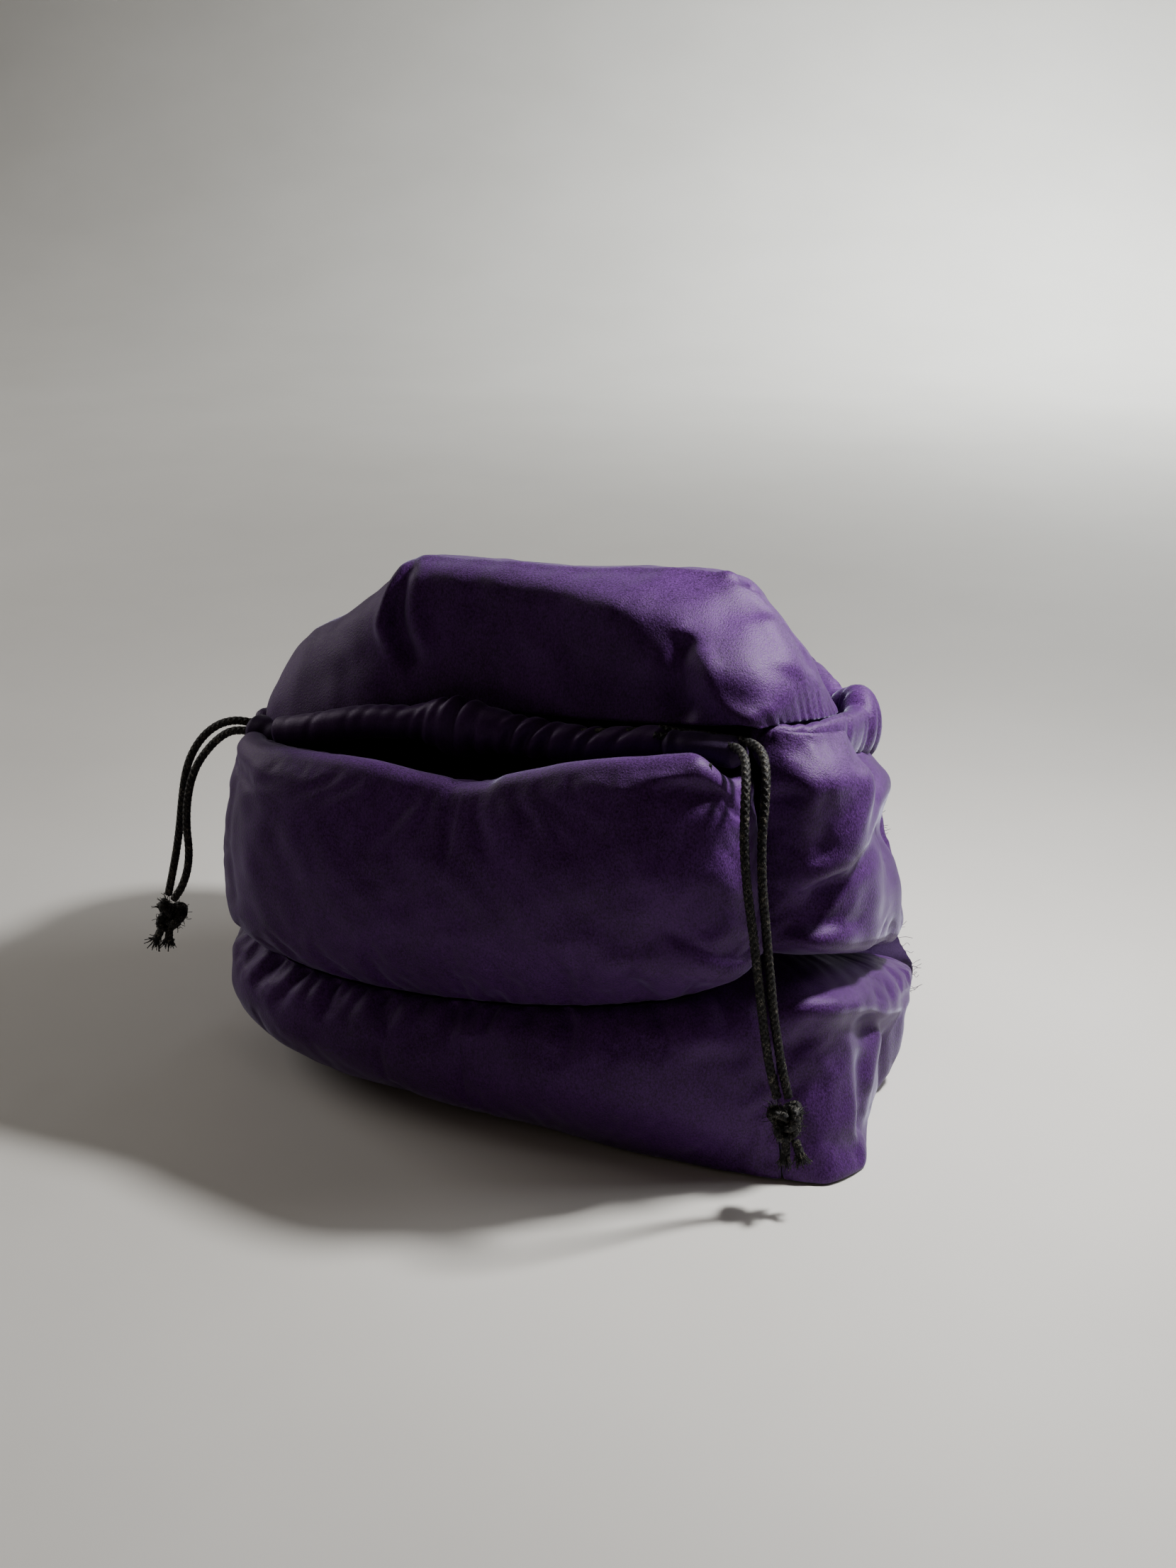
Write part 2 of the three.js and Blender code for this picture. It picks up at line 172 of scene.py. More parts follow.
def braid_material():
    """Black braided polyester: low sheen, and pale flecks scattered by noise that are a painted highlight of
    fibres catching the light.
    """
    n = Nodes("braid")
    fibre = n.noise(1.0, 3, 0.6, n.stretch((5200, 5200, 1500)))
    # random pale flecks: a painted highlight standing in for glints of light on the fibres
    painted_glints = n.noise(700, 3, 0.6)
    both = n.math("ADD", n.math("MULTIPLY", fibre, 0.6), n.math("MULTIPLY", painted_glints, 0.4))
    # the last, pale stop is the painted glint colour
    stops = [(0.4, (0.003, 0.003, 0.004)), (0.55, (0.008, 0.0078, 0.009)), (0.64, (0.17, 0.155, 0.12))]
    return n.surface({
        "Base Color": n.ramp(both, stops),
        "Roughness": 0.55,
        "Specular IOR Level": 0.2,
        "Normal": n.bump(fibre, 0.5, 0.0002),
    })


def board_material():
    n = Nodes("board")
    grain = n.noise(420, 5, 0.7)
    shades = [(0.3, (0.3, 0.27, 0.22)), (0.7, (0.42, 0.39, 0.33))]
    color = n.ramp(grain, shades)
    return n.surface({"Base Color": color, "Roughness": 0.9, "Normal": n.bump(grain, 0.3, 0.0003)})


MATERIALS = {
    "satin": satin("satin", (0.016, 0.0036, 0.026), (0.078, 0.020, 0.140)),
    # Darker copy of the satin: painted shade for parts that sit in shade (the mouth's corner sleeves, the
    # base, the back seam edges and their threads); it is also rougher, with less sheen.
    "satin_shade": satin("satin_shade", (0.016, 0.007, 0.03), (0.032, 0.013, 0.056), 0.6, 0.08, 0.5),
    "lining": satin("lining", (0.026, 0.007, 0.046), (0.046, 0.012, 0.078), 0.5, 0.12, 0.4),
    "elastic": satin("elastic", (0.02, 0.006, 0.036), (0.036, 0.011, 0.064), 0.6, 0.1, 0.6),
    "braid": braid_material(),
    "stiffener": board_material(),
}


# ---- Mesh helpers
def new_object(name, points, faces, slot, body):
    """A piece from points in millimetres; it rides on a body and takes a material slot."""
    mesh = bpy.data.meshes.new(name)
    mesh.from_pydata((np.asarray(points, float) * MM).tolist(), [], [list(map(int, f)) for f in faces])
    mesh.validate()
    mesh.shade_smooth()
    mesh.materials.append(MATERIALS[slot])
    piece = add_object(name, mesh)
    if body:
        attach(piece, body)
    return piece


def shares(count):
    """0 to 1 down the rows of a grid."""
    return np.linspace(0, 1, count)[:, None]


def grid_faces(rows, columns, close_columns=False):
    i = np.arange(rows - 1)
    j = np.arange(columns if close_columns else columns - 1)
    i, j = (x.ravel() for x in np.meshgrid(i, j, indexing="ij"))
    a, b = i + 1, (j + 1) % columns
    return np.stack([i * columns + j, i * columns + b, a * columns + b, a * columns + j], axis=1)


def tube_faces(rings, sides):
    """Faces of a closed tube: its rings, and a fan to the two end points that come after them."""
    faces = [list(f) for f in grid_faces(rings, sides, close_columns=True)]
    count, last = rings * sides, (rings - 1) * sides
    for j in range(sides):
        k = (j + 1) % sides
        faces.append([count, k, j])
        faces.append([count + 1, last + j, last + k])
    return faces


def unit(vectors):
    return vectors / np.linalg.norm(vectors, axis=1, keepdims=True)


def running_length(line):
    """How far along a line each of its points is."""
    return np.concatenate([[0], np.cumsum(np.linalg.norm(np.diff(line, axis=0), axis=1))])


def normals_of(grid):
    along, across = np.gradient(grid, axis=0), np.gradient(grid, axis=1)
    n = np.cross(across, along)
    return n / np.maximum(np.linalg.norm(n, axis=2, keepdims=True), 1e-9)


def raised(grid, height):
    """The grid moved along its normals."""
    return grid + normals_of(grid) * height[..., None]


def cloth_shell(name, grid, thick, slot, body):
    """A closed sheet of cloth: the grid is its outer face, and its inner face lies under it."""
    rows, columns = grid.shape[:2]
    inner = grid - normals_of(grid) * thick
    outer_faces = grid_faces(rows, columns)
    count = rows * columns
    inner_faces = outer_faces[:, ::-1] + count
    edge = np.concatenate([
        np.arange(columns),
        np.arange(1, rows) * columns + columns - 1,
        (rows - 1) * columns + np.arange(columns - 2, -1, -1),
        np.arange(rows - 2, 0, -1) * columns,
    ])
    after = np.roll(edge, -1)
    rim_faces = np.stack([edge, edge + count, after + count, after], axis=1)
    faces = np.concatenate([outer_faces, inner_faces, rim_faces])
    return new_object(name, np.concatenate([grid.reshape(-1, 3), inner.reshape(-1, 3)]), faces, slot, body)


def between(s, low, high, a, b):
    return (high - s) / (high - low) * a + (s - low) / (high - low) * b


def smooth_line(points, count):
    """Points evenly spaced on a centripetal Catmull-Rom curve through the given ones."""
    p = np.asarray(points, float)
    p = np.vstack([2 * p[0] - p[1], p, 2 * p[-1] - p[-2]])
    t = np.concatenate([[0], np.cumsum(np.sqrt(np.linalg.norm(np.diff(p, axis=0), axis=1)))])
    out = []
    for k in range(1, len(p) - 2):
        t0, t1, t2, t3 = t[k - 1 : k + 3]
        s = np.linspace(t1, t2, 40, endpoint=False)[:, None]
        a1 = between(s, t0, t1, p[k - 1], p[k])
        a2 = between(s, t1, t2, p[k], p[k + 1])
        a3 = between(s, t2, t3, p[k + 1], p[k + 2])
        b1, b2 = between(s, t0, t2, a1, a2), between(s, t1, t3, a2, a3)
        out.append(between(s, t1, t2, b1, b2))
    line = np.vstack(out + [p[-2][None]])
    along = running_length(line)
    at = np.linspace(0, along[-1], count)
    return np.stack([np.interp(at, along, line[:, k]) for k in range(3)], axis=1)


def frames_along(line):
    """Unit side and up vectors at each point of a line, turning as little as possible."""
    tangent = unit(np.gradient(line, axis=0))
    side = np.zeros_like(line)
    start = np.cross(tangent[0], [0, 0, 1.0])
    if np.linalg.norm(start) < 0.1:
        start = np.cross(tangent[0], [0, 1.0, 0])
    side[0] = start / np.linalg.norm(start)
    for i in range(1, len(line)):
        v = side[i - 1] - tangent[i] * (side[i - 1] @ tangent[i])
        side[i] = v / np.linalg.norm(v)
    return side, np.cross(tangent, side)


# ---- Cords: the routes are those of the CAD model
CORD_DIAMETER = 2.4
ROUTES = {
    "left_strand_a": [
        (-53, -28.6, 89.9), (-62, -28.6, 89.9), (-71, -28.6, 89.9), (-79, -28.6, 89.9),
        (-84.5, -28.8, 89.8), (-89, -29.2, 88.4), (-93, -29.6, 85.7), (-96.4, -30, 81.9),
        (-99.2, -30.4, 77), (-101, -30.7, 71.5), (-102.2, -31.2, 64.5), (-103.2, -31.6, 57.5),
        (-104.5, -32, 50.5), (-106, -32.6, 43.5), (-107.6, -33.2, 36.7),
    ],
    "left_strand_b": [
        (-53, -31.6, 88.6), (-62, -31.6, 88.6), (-71, -31.6, 88.6), (-79, -31.6, 88.6),
        (-84, -31.8, 87.8), (-88, -32.1, 85.3), (-92, -32.5, 81.2), (-95.3, -32.8, 76.5),
        (-97.6, -33.1, 71), (-98.9, -33.5, 64.5), (-99.2, -33.9, 58), (-98.8, -34.3, 52),
        (-99.4, -34.7, 46.5), (-101.4, -35.1, 41), (-104.2, -35.4, 36.7),
    ],
    "right_strand_a": [
        (41, -39.5, 107.2), (50, -39.5, 107.2), (57, -39.7, 107.4), (62, -41, 107.8),
        (65.5, -44.6, 107), (67.8, -49.4, 103.6), (69.2, -53.4, 97.6), (70.2, -55.8, 90),
        (71.6, -56.8, 80), (73.4, -57, 69), (75, -57, 58), (76.6, -56.8, 46),
        (78.4, -56.8, 36), (80.6, -57, 28.2),
    ],
    "right_strand_b": [
        (41, -36.5, 108), (50, -36.5, 108), (59, -36.7, 108.2), (64.8, -38.2, 108.4),
        (69, -42, 107.6), (71.6, -46.6, 104.4), (72.8, -50.2, 98.6), (73.4, -53, 91),
        (74.3, -54.4, 81), (75.7, -54.8, 70), (77.2, -55, 58), (78.8, -55, 46),
        (80.8, -55.2, 36), (83, -55.8, 28.2),
    ],
}
BRAID_CARRIERS, BRAID_PITCH = 8, 6.4
KNOT_SIZE, KNOT_STRAND = 1.16, 1.22  # scale of the trefoil, and radius of the cord in it
KNOT_LEAN = {"left": (-0.35, 0, -1), "right": (0.25, -0.1, -1)}


def braid_relief(around, along):
    """Height of a round braid's plaits, 0 to 1, at an angle and a length in millimetres."""
    turn = 2 * math.pi * along / BRAID_PITCH
    half = BRAID_CARRIERS / 2
    left = np.cos(half * (around + turn))
    right = np.cos(half * (around - turn))
    over = np.cos(half * around) * np.cos(half * turn)
    return 0.5 + 0.25 * np.where(over > 0, left, right) + 0.12 * np.maximum(left, right)


def braided_tube(name, line, radius, slot, body, sides=28, relief=0.34):
    side, up = frames_along(line)
    along = running_length(line)
    angle = np.linspace(0, 2 * math.pi, sides, endpoint=False)
    height = braid_relief(angle[None], along[:, None])
    r = radius * (1 - relief + relief * height)[..., None]
    ring = side[:, None] * np.cos(angle)[None, :, None] + up[:, None] * np.sin(angle)[None, :, None]
    points = np.vstack([(line[:, None] + r * ring).reshape(-1, 3), line[0], line[-1]])
    return new_object(name, points, tube_faces(len(line), sides), slot, body)


def box_middle(node):
    low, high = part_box(node)
    return (np.array(low) + np.array(high)) / 2 / MM


def knot_line(size):
    """A pulled-tight overhand knot: a trefoil, flattened and uneven."""
    t = np.linspace(0, 2 * math.pi, 420)
    x = np.sin(t) + 2 * np.sin(2 * t)
    y = np.cos(t) - 2 * np.cos(2 * t)
    z = -np.sin(3 * t) * 1.25
    return np.stack([x, y * 0.92, z], axis=1) * size


def upright(lean):
    down = Vector(lean).normalized()
    return np.array(Vector((0, 0, -1)).rotation_difference(down).to_matrix())


def make_knot(side, body):
    """Both strands tied in one overhand knot: two braids side by side through a trefoil."""
    middle, turn = box_middle(f"{side}_knot"), upright(KNOT_LEAN[side])
    line = knot_line(KNOT_SIZE)
    line = line[:, [0, 2, 1]] * (1.08, 0.95, 1.3)
    out = []
    for shift in (-0.75, 0.75):
        path = line * (1 + 0.04 * shift) + np.array([0, shift, 0.2 * shift])
        name = f"{side}_knot_turn_{len(out)}"
        out.append(braided_tube(name, path @ turn.T + middle, KNOT_STRAND, "braid", body, 18))
    return out


def join(pieces, name, slot, body):
    """Several meshes made one object."""
    points, faces = [], []
    for piece in pieces:
        start = len(points)
        points += [tuple(v.co) for v in piece.data.vertices]
        faces += [[start + k for k in p.vertices] for p in piece.data.polygons]
        bpy.data.objects.remove(piece)
    return new_object(name, np.array(points) / MM, faces, slot, body)


def fray(name, top, down, count, length, spread, body, seed):
    """A cut cord end: a short braided stub and loose filaments."""
    r = np.random.default_rng(seed)
    down = np.array(Vector(down).normalized())
    stub_line = top + np.linspace(-1.2, length * 0.55, 40)[:, None] * down
    parts = [braided_tube(f"{name}_stub", stub_line, 1.25, "braid", body, 18)]
    side, up = frames_along(stub_line)
    for k in range(count):
        angle, off = r.uniform(0, 2 * math.pi), r.uniform(0.2, 1.15)
        out = side[0] * math.cos(angle) + up[0] * math.sin(angle)
        start = top + down * length * r.uniform(0.25, 0.5) + out * off
        reach = length * r.uniform(0.35, 0.6)
        bend = out * spread * r.uniform(0.2, 1.3) + r.normal(0, 0.35, 3)
        line = smooth_line([start, start + down * reach * 0.5 + bend * 0.35, start + down * reach + bend], 9)
        parts.append(braided_tube(f"{name}_{k}", line, 0.13, "braid", body, 5, 0))
    return join(parts, name, "braid", body)


def fuzz(piece, middle, count, seed):
    """Broken filaments standing out of a knot."""
    r = np.random.default_rng(seed)
    points = np.array([v.co for v in piece.data.vertices]) / MM
    hairs = []
    for k in r.integers(0, len(points), count):
        out = (points[k] - middle) / np.linalg.norm(points[k] - middle)
        reach = r.uniform(0.5, 1.7)
        middle_point = points[k] + out * reach * 0.5 + r.normal(0, 0.2, 3)
        tip = points[k] + out * reach + r.normal(0, 0.5, 3)
        line = smooth_line([points[k] - out * 0.3, middle_point, tip], 6)
        hairs.append(braided_tube(f"hair_{len(hairs)}", line, 0.09, "braid", None, 4, 0))
    return hairs


def make_cords():
    for side, body in (("left", "left_drawstring"), ("right", "right_drawstring")):
        turns = make_knot(side, body)
        knot_middle = box_middle(f"{side}_knot")
        hairs = fuzz(turns[0], knot_middle, 90, 15) + fuzz(turns[1], knot_middle, 90, 16)
        knot = join(turns + hairs, f"{side}_knot_tied", "braid", body)
        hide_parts(f"{side}_knot")
        middle = box_middle(f"{side}_frayed_ends")
        lean = np.array(Vector(KNOT_LEAN[side]).normalized())
        top = middle - lean * 3.4
        ends = []
        for k, shift in enumerate((-1.25, 1.25)):
            down = lean + np.array([0.16, 0, 0]) * shift
            start = top + np.array([shift, 0.3 * shift, 0])
            ends.append(fray(
                f"{side}_end_{k}", start, down, count=46, length=6.2 - k, spread=1.3, body=body, seed=11 + k,
            ))
        tuft = join(ends, f"{side}_frayed_tips", "braid", body)
        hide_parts(f"{side}_frayed_ends")
        for strand in ("a", "b"):
            node = f"{side}_strand_{strand}"
            line = smooth_line(ROUTES[node], 520)
            cord = braided_tube(f"{node}_braid", line, CORD_DIAMETER / 2, "braid", body)
            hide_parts(node)


make_cords()


# ---- The sack's outline and heights, as in the CAD model
HALF_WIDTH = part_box("upper_right_panel")[1][0] / MM
HALF_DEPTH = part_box("upper_back_panel")[1][1] / MM
CORNER_POWER = 3.6
SEAM_RIGHT, SEAM_LEFT, SEAM_BACK_RIGHT, SEAM_BACK_LEFT = -38, 200, 38, 142
BAND = 9  # height of the rolled rim
SAG_FROM = -40


def smoothstep(x, low, high):
    t = np.clip((x - low) / (high - low), 0, 1)
    return t * t * (3 - 2 * t)


def bell(x, middle, width):
    return np.exp(-(((x - middle) / width) ** 2))


def plan(degrees, inset):
    angle = np.radians(degrees)
    power = 2 / CORNER_POWER
    c, s = np.cos(angle), np.sin(angle)
    x = (HALF_WIDTH - inset) * np.sign(c) * np.abs(c) ** power
    y = (HALF_DEPTH - inset) * np.sign(s) * np.abs(s) ** power
    return x, y


def tier_seam(x, y):
    sag = 0.36 * np.maximum(0, y - SAG_FROM) * smoothstep(x, 0, HALF_WIDTH)
    return 35 + 0.108 * x + 0.0014 * x * x - sag


def rim(x, y):
    front = smoothstep(-y, 0, HALF_DEPTH / 2)
    sag = 0.22 * np.maximum(0, y - SAG_FROM) * smoothstep(x, HALF_WIDTH / 3, HALF_WIDTH)
    return 100.5 + 0.13 * x - 6 * front * bell(x, -3, 24) - sag


def even_angles(start, end, step, inset=4):
    """Plan angles whose points lie a step apart on the outline, and the outline's length."""
    fine = np.linspace(start, end, 1200)
    x, y = plan(fine, inset)
    along = np.concatenate([[0], np.cumsum(np.hypot(np.diff(x), np.diff(y)))])
    even = np.linspace(0, along[-1], int(along[-1] / step) + 1)
    return np.interp(even, along, fine), along[-1]


# ---- Folding and gathering
def distance_to_line(points, line):
    """Each point's distance from a line of points, and how far along it the nearest place is."""
    best = np.full(points.shape[:-1], 1e9)
    where = np.zeros(points.shape[:-1])
    lengths = np.linalg.norm(np.diff(line, axis=0), axis=1)
    done = 0.0
    for a, b, length in zip(line[:-1], line[1:], lengths):
        t = np.clip(((points - a) @ (b - a)) / length**2, 0, 1)
        d = np.linalg.norm(points - (a + t[..., None] * (b - a)), axis=-1)
        nearer = d < best
        best = np.where(nearer, d, best)
        where = np.where(nearer, (done + t * length) / lengths.sum(), where)
        done += length
    return best, where


def fold(grid, line, height, width, fade=(0.2, 0.2)):
    """Raise the cloth along a line, or press it in where the height is negative."""
    d, t = distance_to_line(grid, smooth_line(line, 20))
    lift = height * bell(d, 0, width)
    if fade[0]:
        lift = lift * smoothstep(t, 0, fade[0])
    if fade[1]:
        lift = lift * smoothstep(1 - t, 0, fade[1])
    return raised(grid, lift)


RIPPLE_WAVES = 16


def ripples(points, scale, seed):
    """A smooth random field, about -1 to 1; scale is the usual distance between its bumps."""
    r = np.random.default_rng(seed)
    value = np.zeros(points.shape[:-1])
    for _ in range(RIPPLE_WAVES):
        direction = r.normal(size=3)
        direction /= np.linalg.norm(direction)
        wave = 2 * math.pi / (scale * r.uniform(0.7, 1.6))
        value += np.sin(points @ direction * wave + r.uniform(0, 2 * math.pi))
    return value / math.sqrt(RIPPLE_WAVES / 2)


def gathers(along, away, start, end, spacing, depth, reach, seed):
    """Depth of the puckers that run away from a gathered seam; distances in millimetres."""
    r = np.random.default_rng(seed)
    height = np.zeros(np.broadcast(along, away).shape)
    place = start + spacing * 0.3
    while place < end:
        reach_here = reach * r.uniform(0.45, 1.35)
        width = spacing * r.uniform(0.2, 0.32)
        lean = r.normal(0, 0.16)
        fade = np.clip(1 - away / reach_here, 0, 1) ** 1.3
        spread = width * (1 + 0.8 * away / reach_here)
        groove = bell(along - place - lean * away, 0, spread)
        height = height - depth * r.uniform(0.45, 1.2) * fade * groove
        place += spacing * r.uniform(0.6, 1.5)
    return height + 0.3 * depth * np.clip(1 - away / reach, 0, 1)


# ---- Cloth simulation
SIM_SCALE = 10  # the solver is tuned for metre-sized cloth
SIM_FRAMES = 18
CLOTH_SETTINGS = dict(
    quality=6, mass=0.2, air_damping=3.0, tension_stiffness=30, compression_stiffness=30,
    shear_stiffness=12, bending_stiffness=0.6, tension_damping=8, compression_damping=8,
    shear_damping=8, bending_damping=1.0, vertex_group_mass="pin", pin_stiffness=20,
    vertex_group_shrink="gather", shrink_min=-0.02, use_pressure=True, uniform_pressure_force=2.0,
)


def simulate(grid, pins, gather, gather_grow, cap):
    """Blow a grid of cloth out between its pinned points, with spare cloth where it is gathered.

    gather_grow is the share of spare cloth there, and cap the farthest that a point may move.
    """
    rows, columns = grid.shape[:2]
    start = grid.reshape(-1, 3)
    mesh = bpy.data.meshes.new("sim")
    mesh.from_pydata((start * MM * SIM_SCALE).tolist(), [], grid_faces(rows, columns).tolist())
    cloth = add_object("sim", mesh)
    scene = bpy.context.scene
    for name, weights in (("pin", pins), ("gather", gather)):
        group = cloth.vertex_groups.new(name=name)
        for k, weight in enumerate(weights.ravel()):
            if weight > 0:
                group.add([k], float(weight), "REPLACE")
    modifier = cloth.modifiers.new("cloth", "CLOTH")
    s = modifier.settings
    for key, value in CLOTH_SETTINGS.items():
        setattr(s, key, value)
    s.shrink_max = -gather_grow
    s.effector_weights.gravity = 0
    modifier.collision_settings.use_collision = False
    modifier.point_cache.frame_start = 1
    modifier.point_cache.frame_end = SIM_FRAMES
    for f in range(1, SIM_FRAMES + 1):
        scene.frame_set(f)
    shown = cloth.evaluated_get(bpy.context.evaluated_depsgraph_get())
    out = np.empty(len(start) * 3)
    shown.data.vertices.foreach_get("co", out)
    bpy.data.objects.remove(cloth)
    scene.frame_set(1)
    move = out.reshape(-1, 3) / MM / SIM_SCALE - start
    size = np.linalg.norm(move, axis=1, keepdims=True)
    move *= np.minimum(1, cap / np.maximum(size, 1e-9))
    return (start + move).reshape(grid.shape)


def edge_pins(rows, columns):
    pins = np.zeros((rows, columns))
    pins[[0, -1]] = 1
    pins[:, [0, -1]] = 1
    return pins


def smooth_piece(piece):
    """One subdivision."""
    modifier = piece.modifiers.new("smooth", "SUBSURF")
    modifier.levels = 1
    modifier.render_levels = 1
    return piece


# ---- Walls
STEP = 1.25  # spacing of the cloth's points
CLOTH = 0.8  # thickness shown
SEAM_REACH = 8.0  # how far from a side seam the cloth is pulled in
WALLS = {  # side: plan angles from and to, and how deep the seams there pull in
    "front": (SEAM_LEFT, 360 + SEAM_RIGHT, 2.5, 10.0),
    "right": (SEAM_RIGHT, SEAM_BACK_RIGHT, 10.0, 4.0),
    "back": (SEAM_BACK_RIGHT, SEAM_BACK_LEFT, 4.0, 4.0),
    "left": (SEAM_BACK_LEFT, SEAM_LEFT, 4.0, 2.5),
}
ROWS_LENGTH = {"lower": 40, "upper": 62}  # the length that a wall's rows share out
LOWER_HEIGHT = 38  # of the gathered seam over the floor
LAP = 4  # the front panel's rim rolls inwards on this radius
LAP_TURNS = (25, 50, 75, 100, 125, 150, 175)  # degrees round the roll, one row of cloth at each
LAP_DROPS = (1.5, 3, 4.5, 6)  # and the rows that hang down inside it
LAP_ROWS = len(LAP_TURNS) + len(LAP_DROPS)


def by_angle(degrees, table):
    """A value that varies smoothly round the outline, from its value at a few plan angles."""
    angles, values = np.array(table + [(table[0][0] + 360, table[0][1])], float).T
    turned = (degrees - SEAM_BACK_LEFT) % 360 + SEAM_BACK_LEFT
    return np.interp(turned, angles, values)


FLOOR_TUCK = [  # how far in the sack meets the floor
    (142, 10), (180, 11), (200, 16), (214, 22), (235, 20), (250, 17), (265, 14), (285, 9), (300, 7),
    (312, 4), (320, 1), (332, -1.5), (345, -2.5), (360, 3), (372, 9), (380, 12), (398, 12), (470, 10),
]
SPLAY = [  # how far the lower tier leans out at the floor
    (142, 0), (295, 0), (312, 2), (322, 4.5), (332, 7), (345, 6.5), (360, 1.8), (372, -1.2), (384, -0.8),
    (398, 0), (440, 0),
]
WAIST = [  # how deep the gathered seam between the tiers lies
    (142, 8), (200, 6), (225, 7), (300, 8), (314, 11), (326, 16), (360, 17), (385, 13), (398, 10), (440, 8),
]
SHOULDER = [  # how far in the top of the upper tier lies
    (142, 9), (190, 9), (199, 6), (208, 4.5), (300, 4.5), (314, 7), (322, 9), (398, 19), (410, 16), (425, 10),
    (440, 7),
]
# The right wall leans in towards its top, and turns in there.
LEAN = [(322, 4.5), (340, 1.8), (355, 4), (370, 8), (385, 10), (398, 12)]
TOP_TURN = [(322, 8.5), (340, 9), (355, 6), (370, 3.5), (398, 7)]


def wall_grid(side, tier):
    start, end, pull_start, pull_end = WALLS[side]
    angles, length = even_angles(start, end, STEP)
    s = shares(int(ROWS_LENGTH[tier] / STEP) + 1)
    along = np.linspace(0, length, len(angles))[None]
    angles = angles[None]
    pinch = pull_start * np.exp(-((along / SEAM_REACH) ** 1.4))
    pinch = pinch + pull_end * np.exp(-(((length - along) / SEAM_REACH) ** 1.4))
    waist = by_angle(angles, WAIST)
    mx, my = plan(angles, 4)
    seam = tier_seam(mx, my)
    if tier == "lower":
        h = 1 - (1 - s) ** 1.5
        under = np.clip(1 - h / 0.55, 0, 1) ** 2.2
        neck_from, neck_power = (0.70, 0.9) if side == "right" else (0.62, 1.2)
        neck = smoothstep(s, neck_from, 1.0) ** neck_power
        inset = 1 + (by_angle(angles, FLOOR_TUCK) - 1) * under + (waist - 1) * neck
        inset = inset - by_angle(angles, SPLAY) * (1 - h)
        low, high = 0.6 + 0 * seam, seam
        inset = inset + pinch * (0.25 + 0.35 * s)
        if side == "right":
            inset = inset - 1.8 * bell(h, 0.82, 0.16)
    else:
        h = s**1.3
        waist_part = np.clip(1 - s / 0.24, 0, 1) ** 1.8
        shoulder = smoothstep(s, 0.45, 1.05) ** 1.5
        inset = 0.2 + waist * waist_part
        if side == "right":
            turn_in = smoothstep(s, 0.84, 1.03)
            inset = inset + by_angle(angles, LEAN) * s**1.4 + by_angle(angles, TOP_TURN) * turn_in
            inset = inset + 1.9 * smoothstep(angles, -6, 12)
        else:
            inset = inset + by_angle(angles, SHOULDER) * shoulder
        low = seam + 0.3
        high = rim(mx, my) - (0 if side == "front" else BAND - 1.5)
        if side == "front":
            high = high - 10 * smoothstep(mx, 57, 71)
        if side == "right":
            high = high + (BAND - 1.5) * smoothstep(-my, -2, 16)
        inset = inset + pinch * (0.6 + 0.4 * np.sin(np.pi * np.clip(s, 0, 1)))
    x, y = plan(angles, inset)
    z = low + (high - low) * h
    grid = np.stack([x, y, z + 0 * x], axis=2)
    if (side, tier) == ("front", "upper"):
        grid = add_lap(grid, angles, inset)
    return grid, along, s


def add_lap(grid, angles, inset):
    """Carry the top edge over the rim and a little way down inside it."""
    top = grid[-1]
    rows = []
    for turn in np.radians(LAP_TURNS):
        x, y = plan(angles[0], inset[-1] + LAP * (1 - math.cos(turn)))
        rows.append(np.stack([x, y, top[:, 2] + LAP * math.sin(turn)], axis=1))
    for drop in LAP_DROPS:
        rows.append(rows[len(LAP_TURNS) - 1] - np.array([0, 0, drop]))
    grid = np.concatenate([grid, np.array(rows)])
    grid[..., 2] -= LAP * smoothstep(np.arange(len(grid)) / (len(grid) - LAP_ROWS), 0.8, 1.0)[:, None]
    return grid


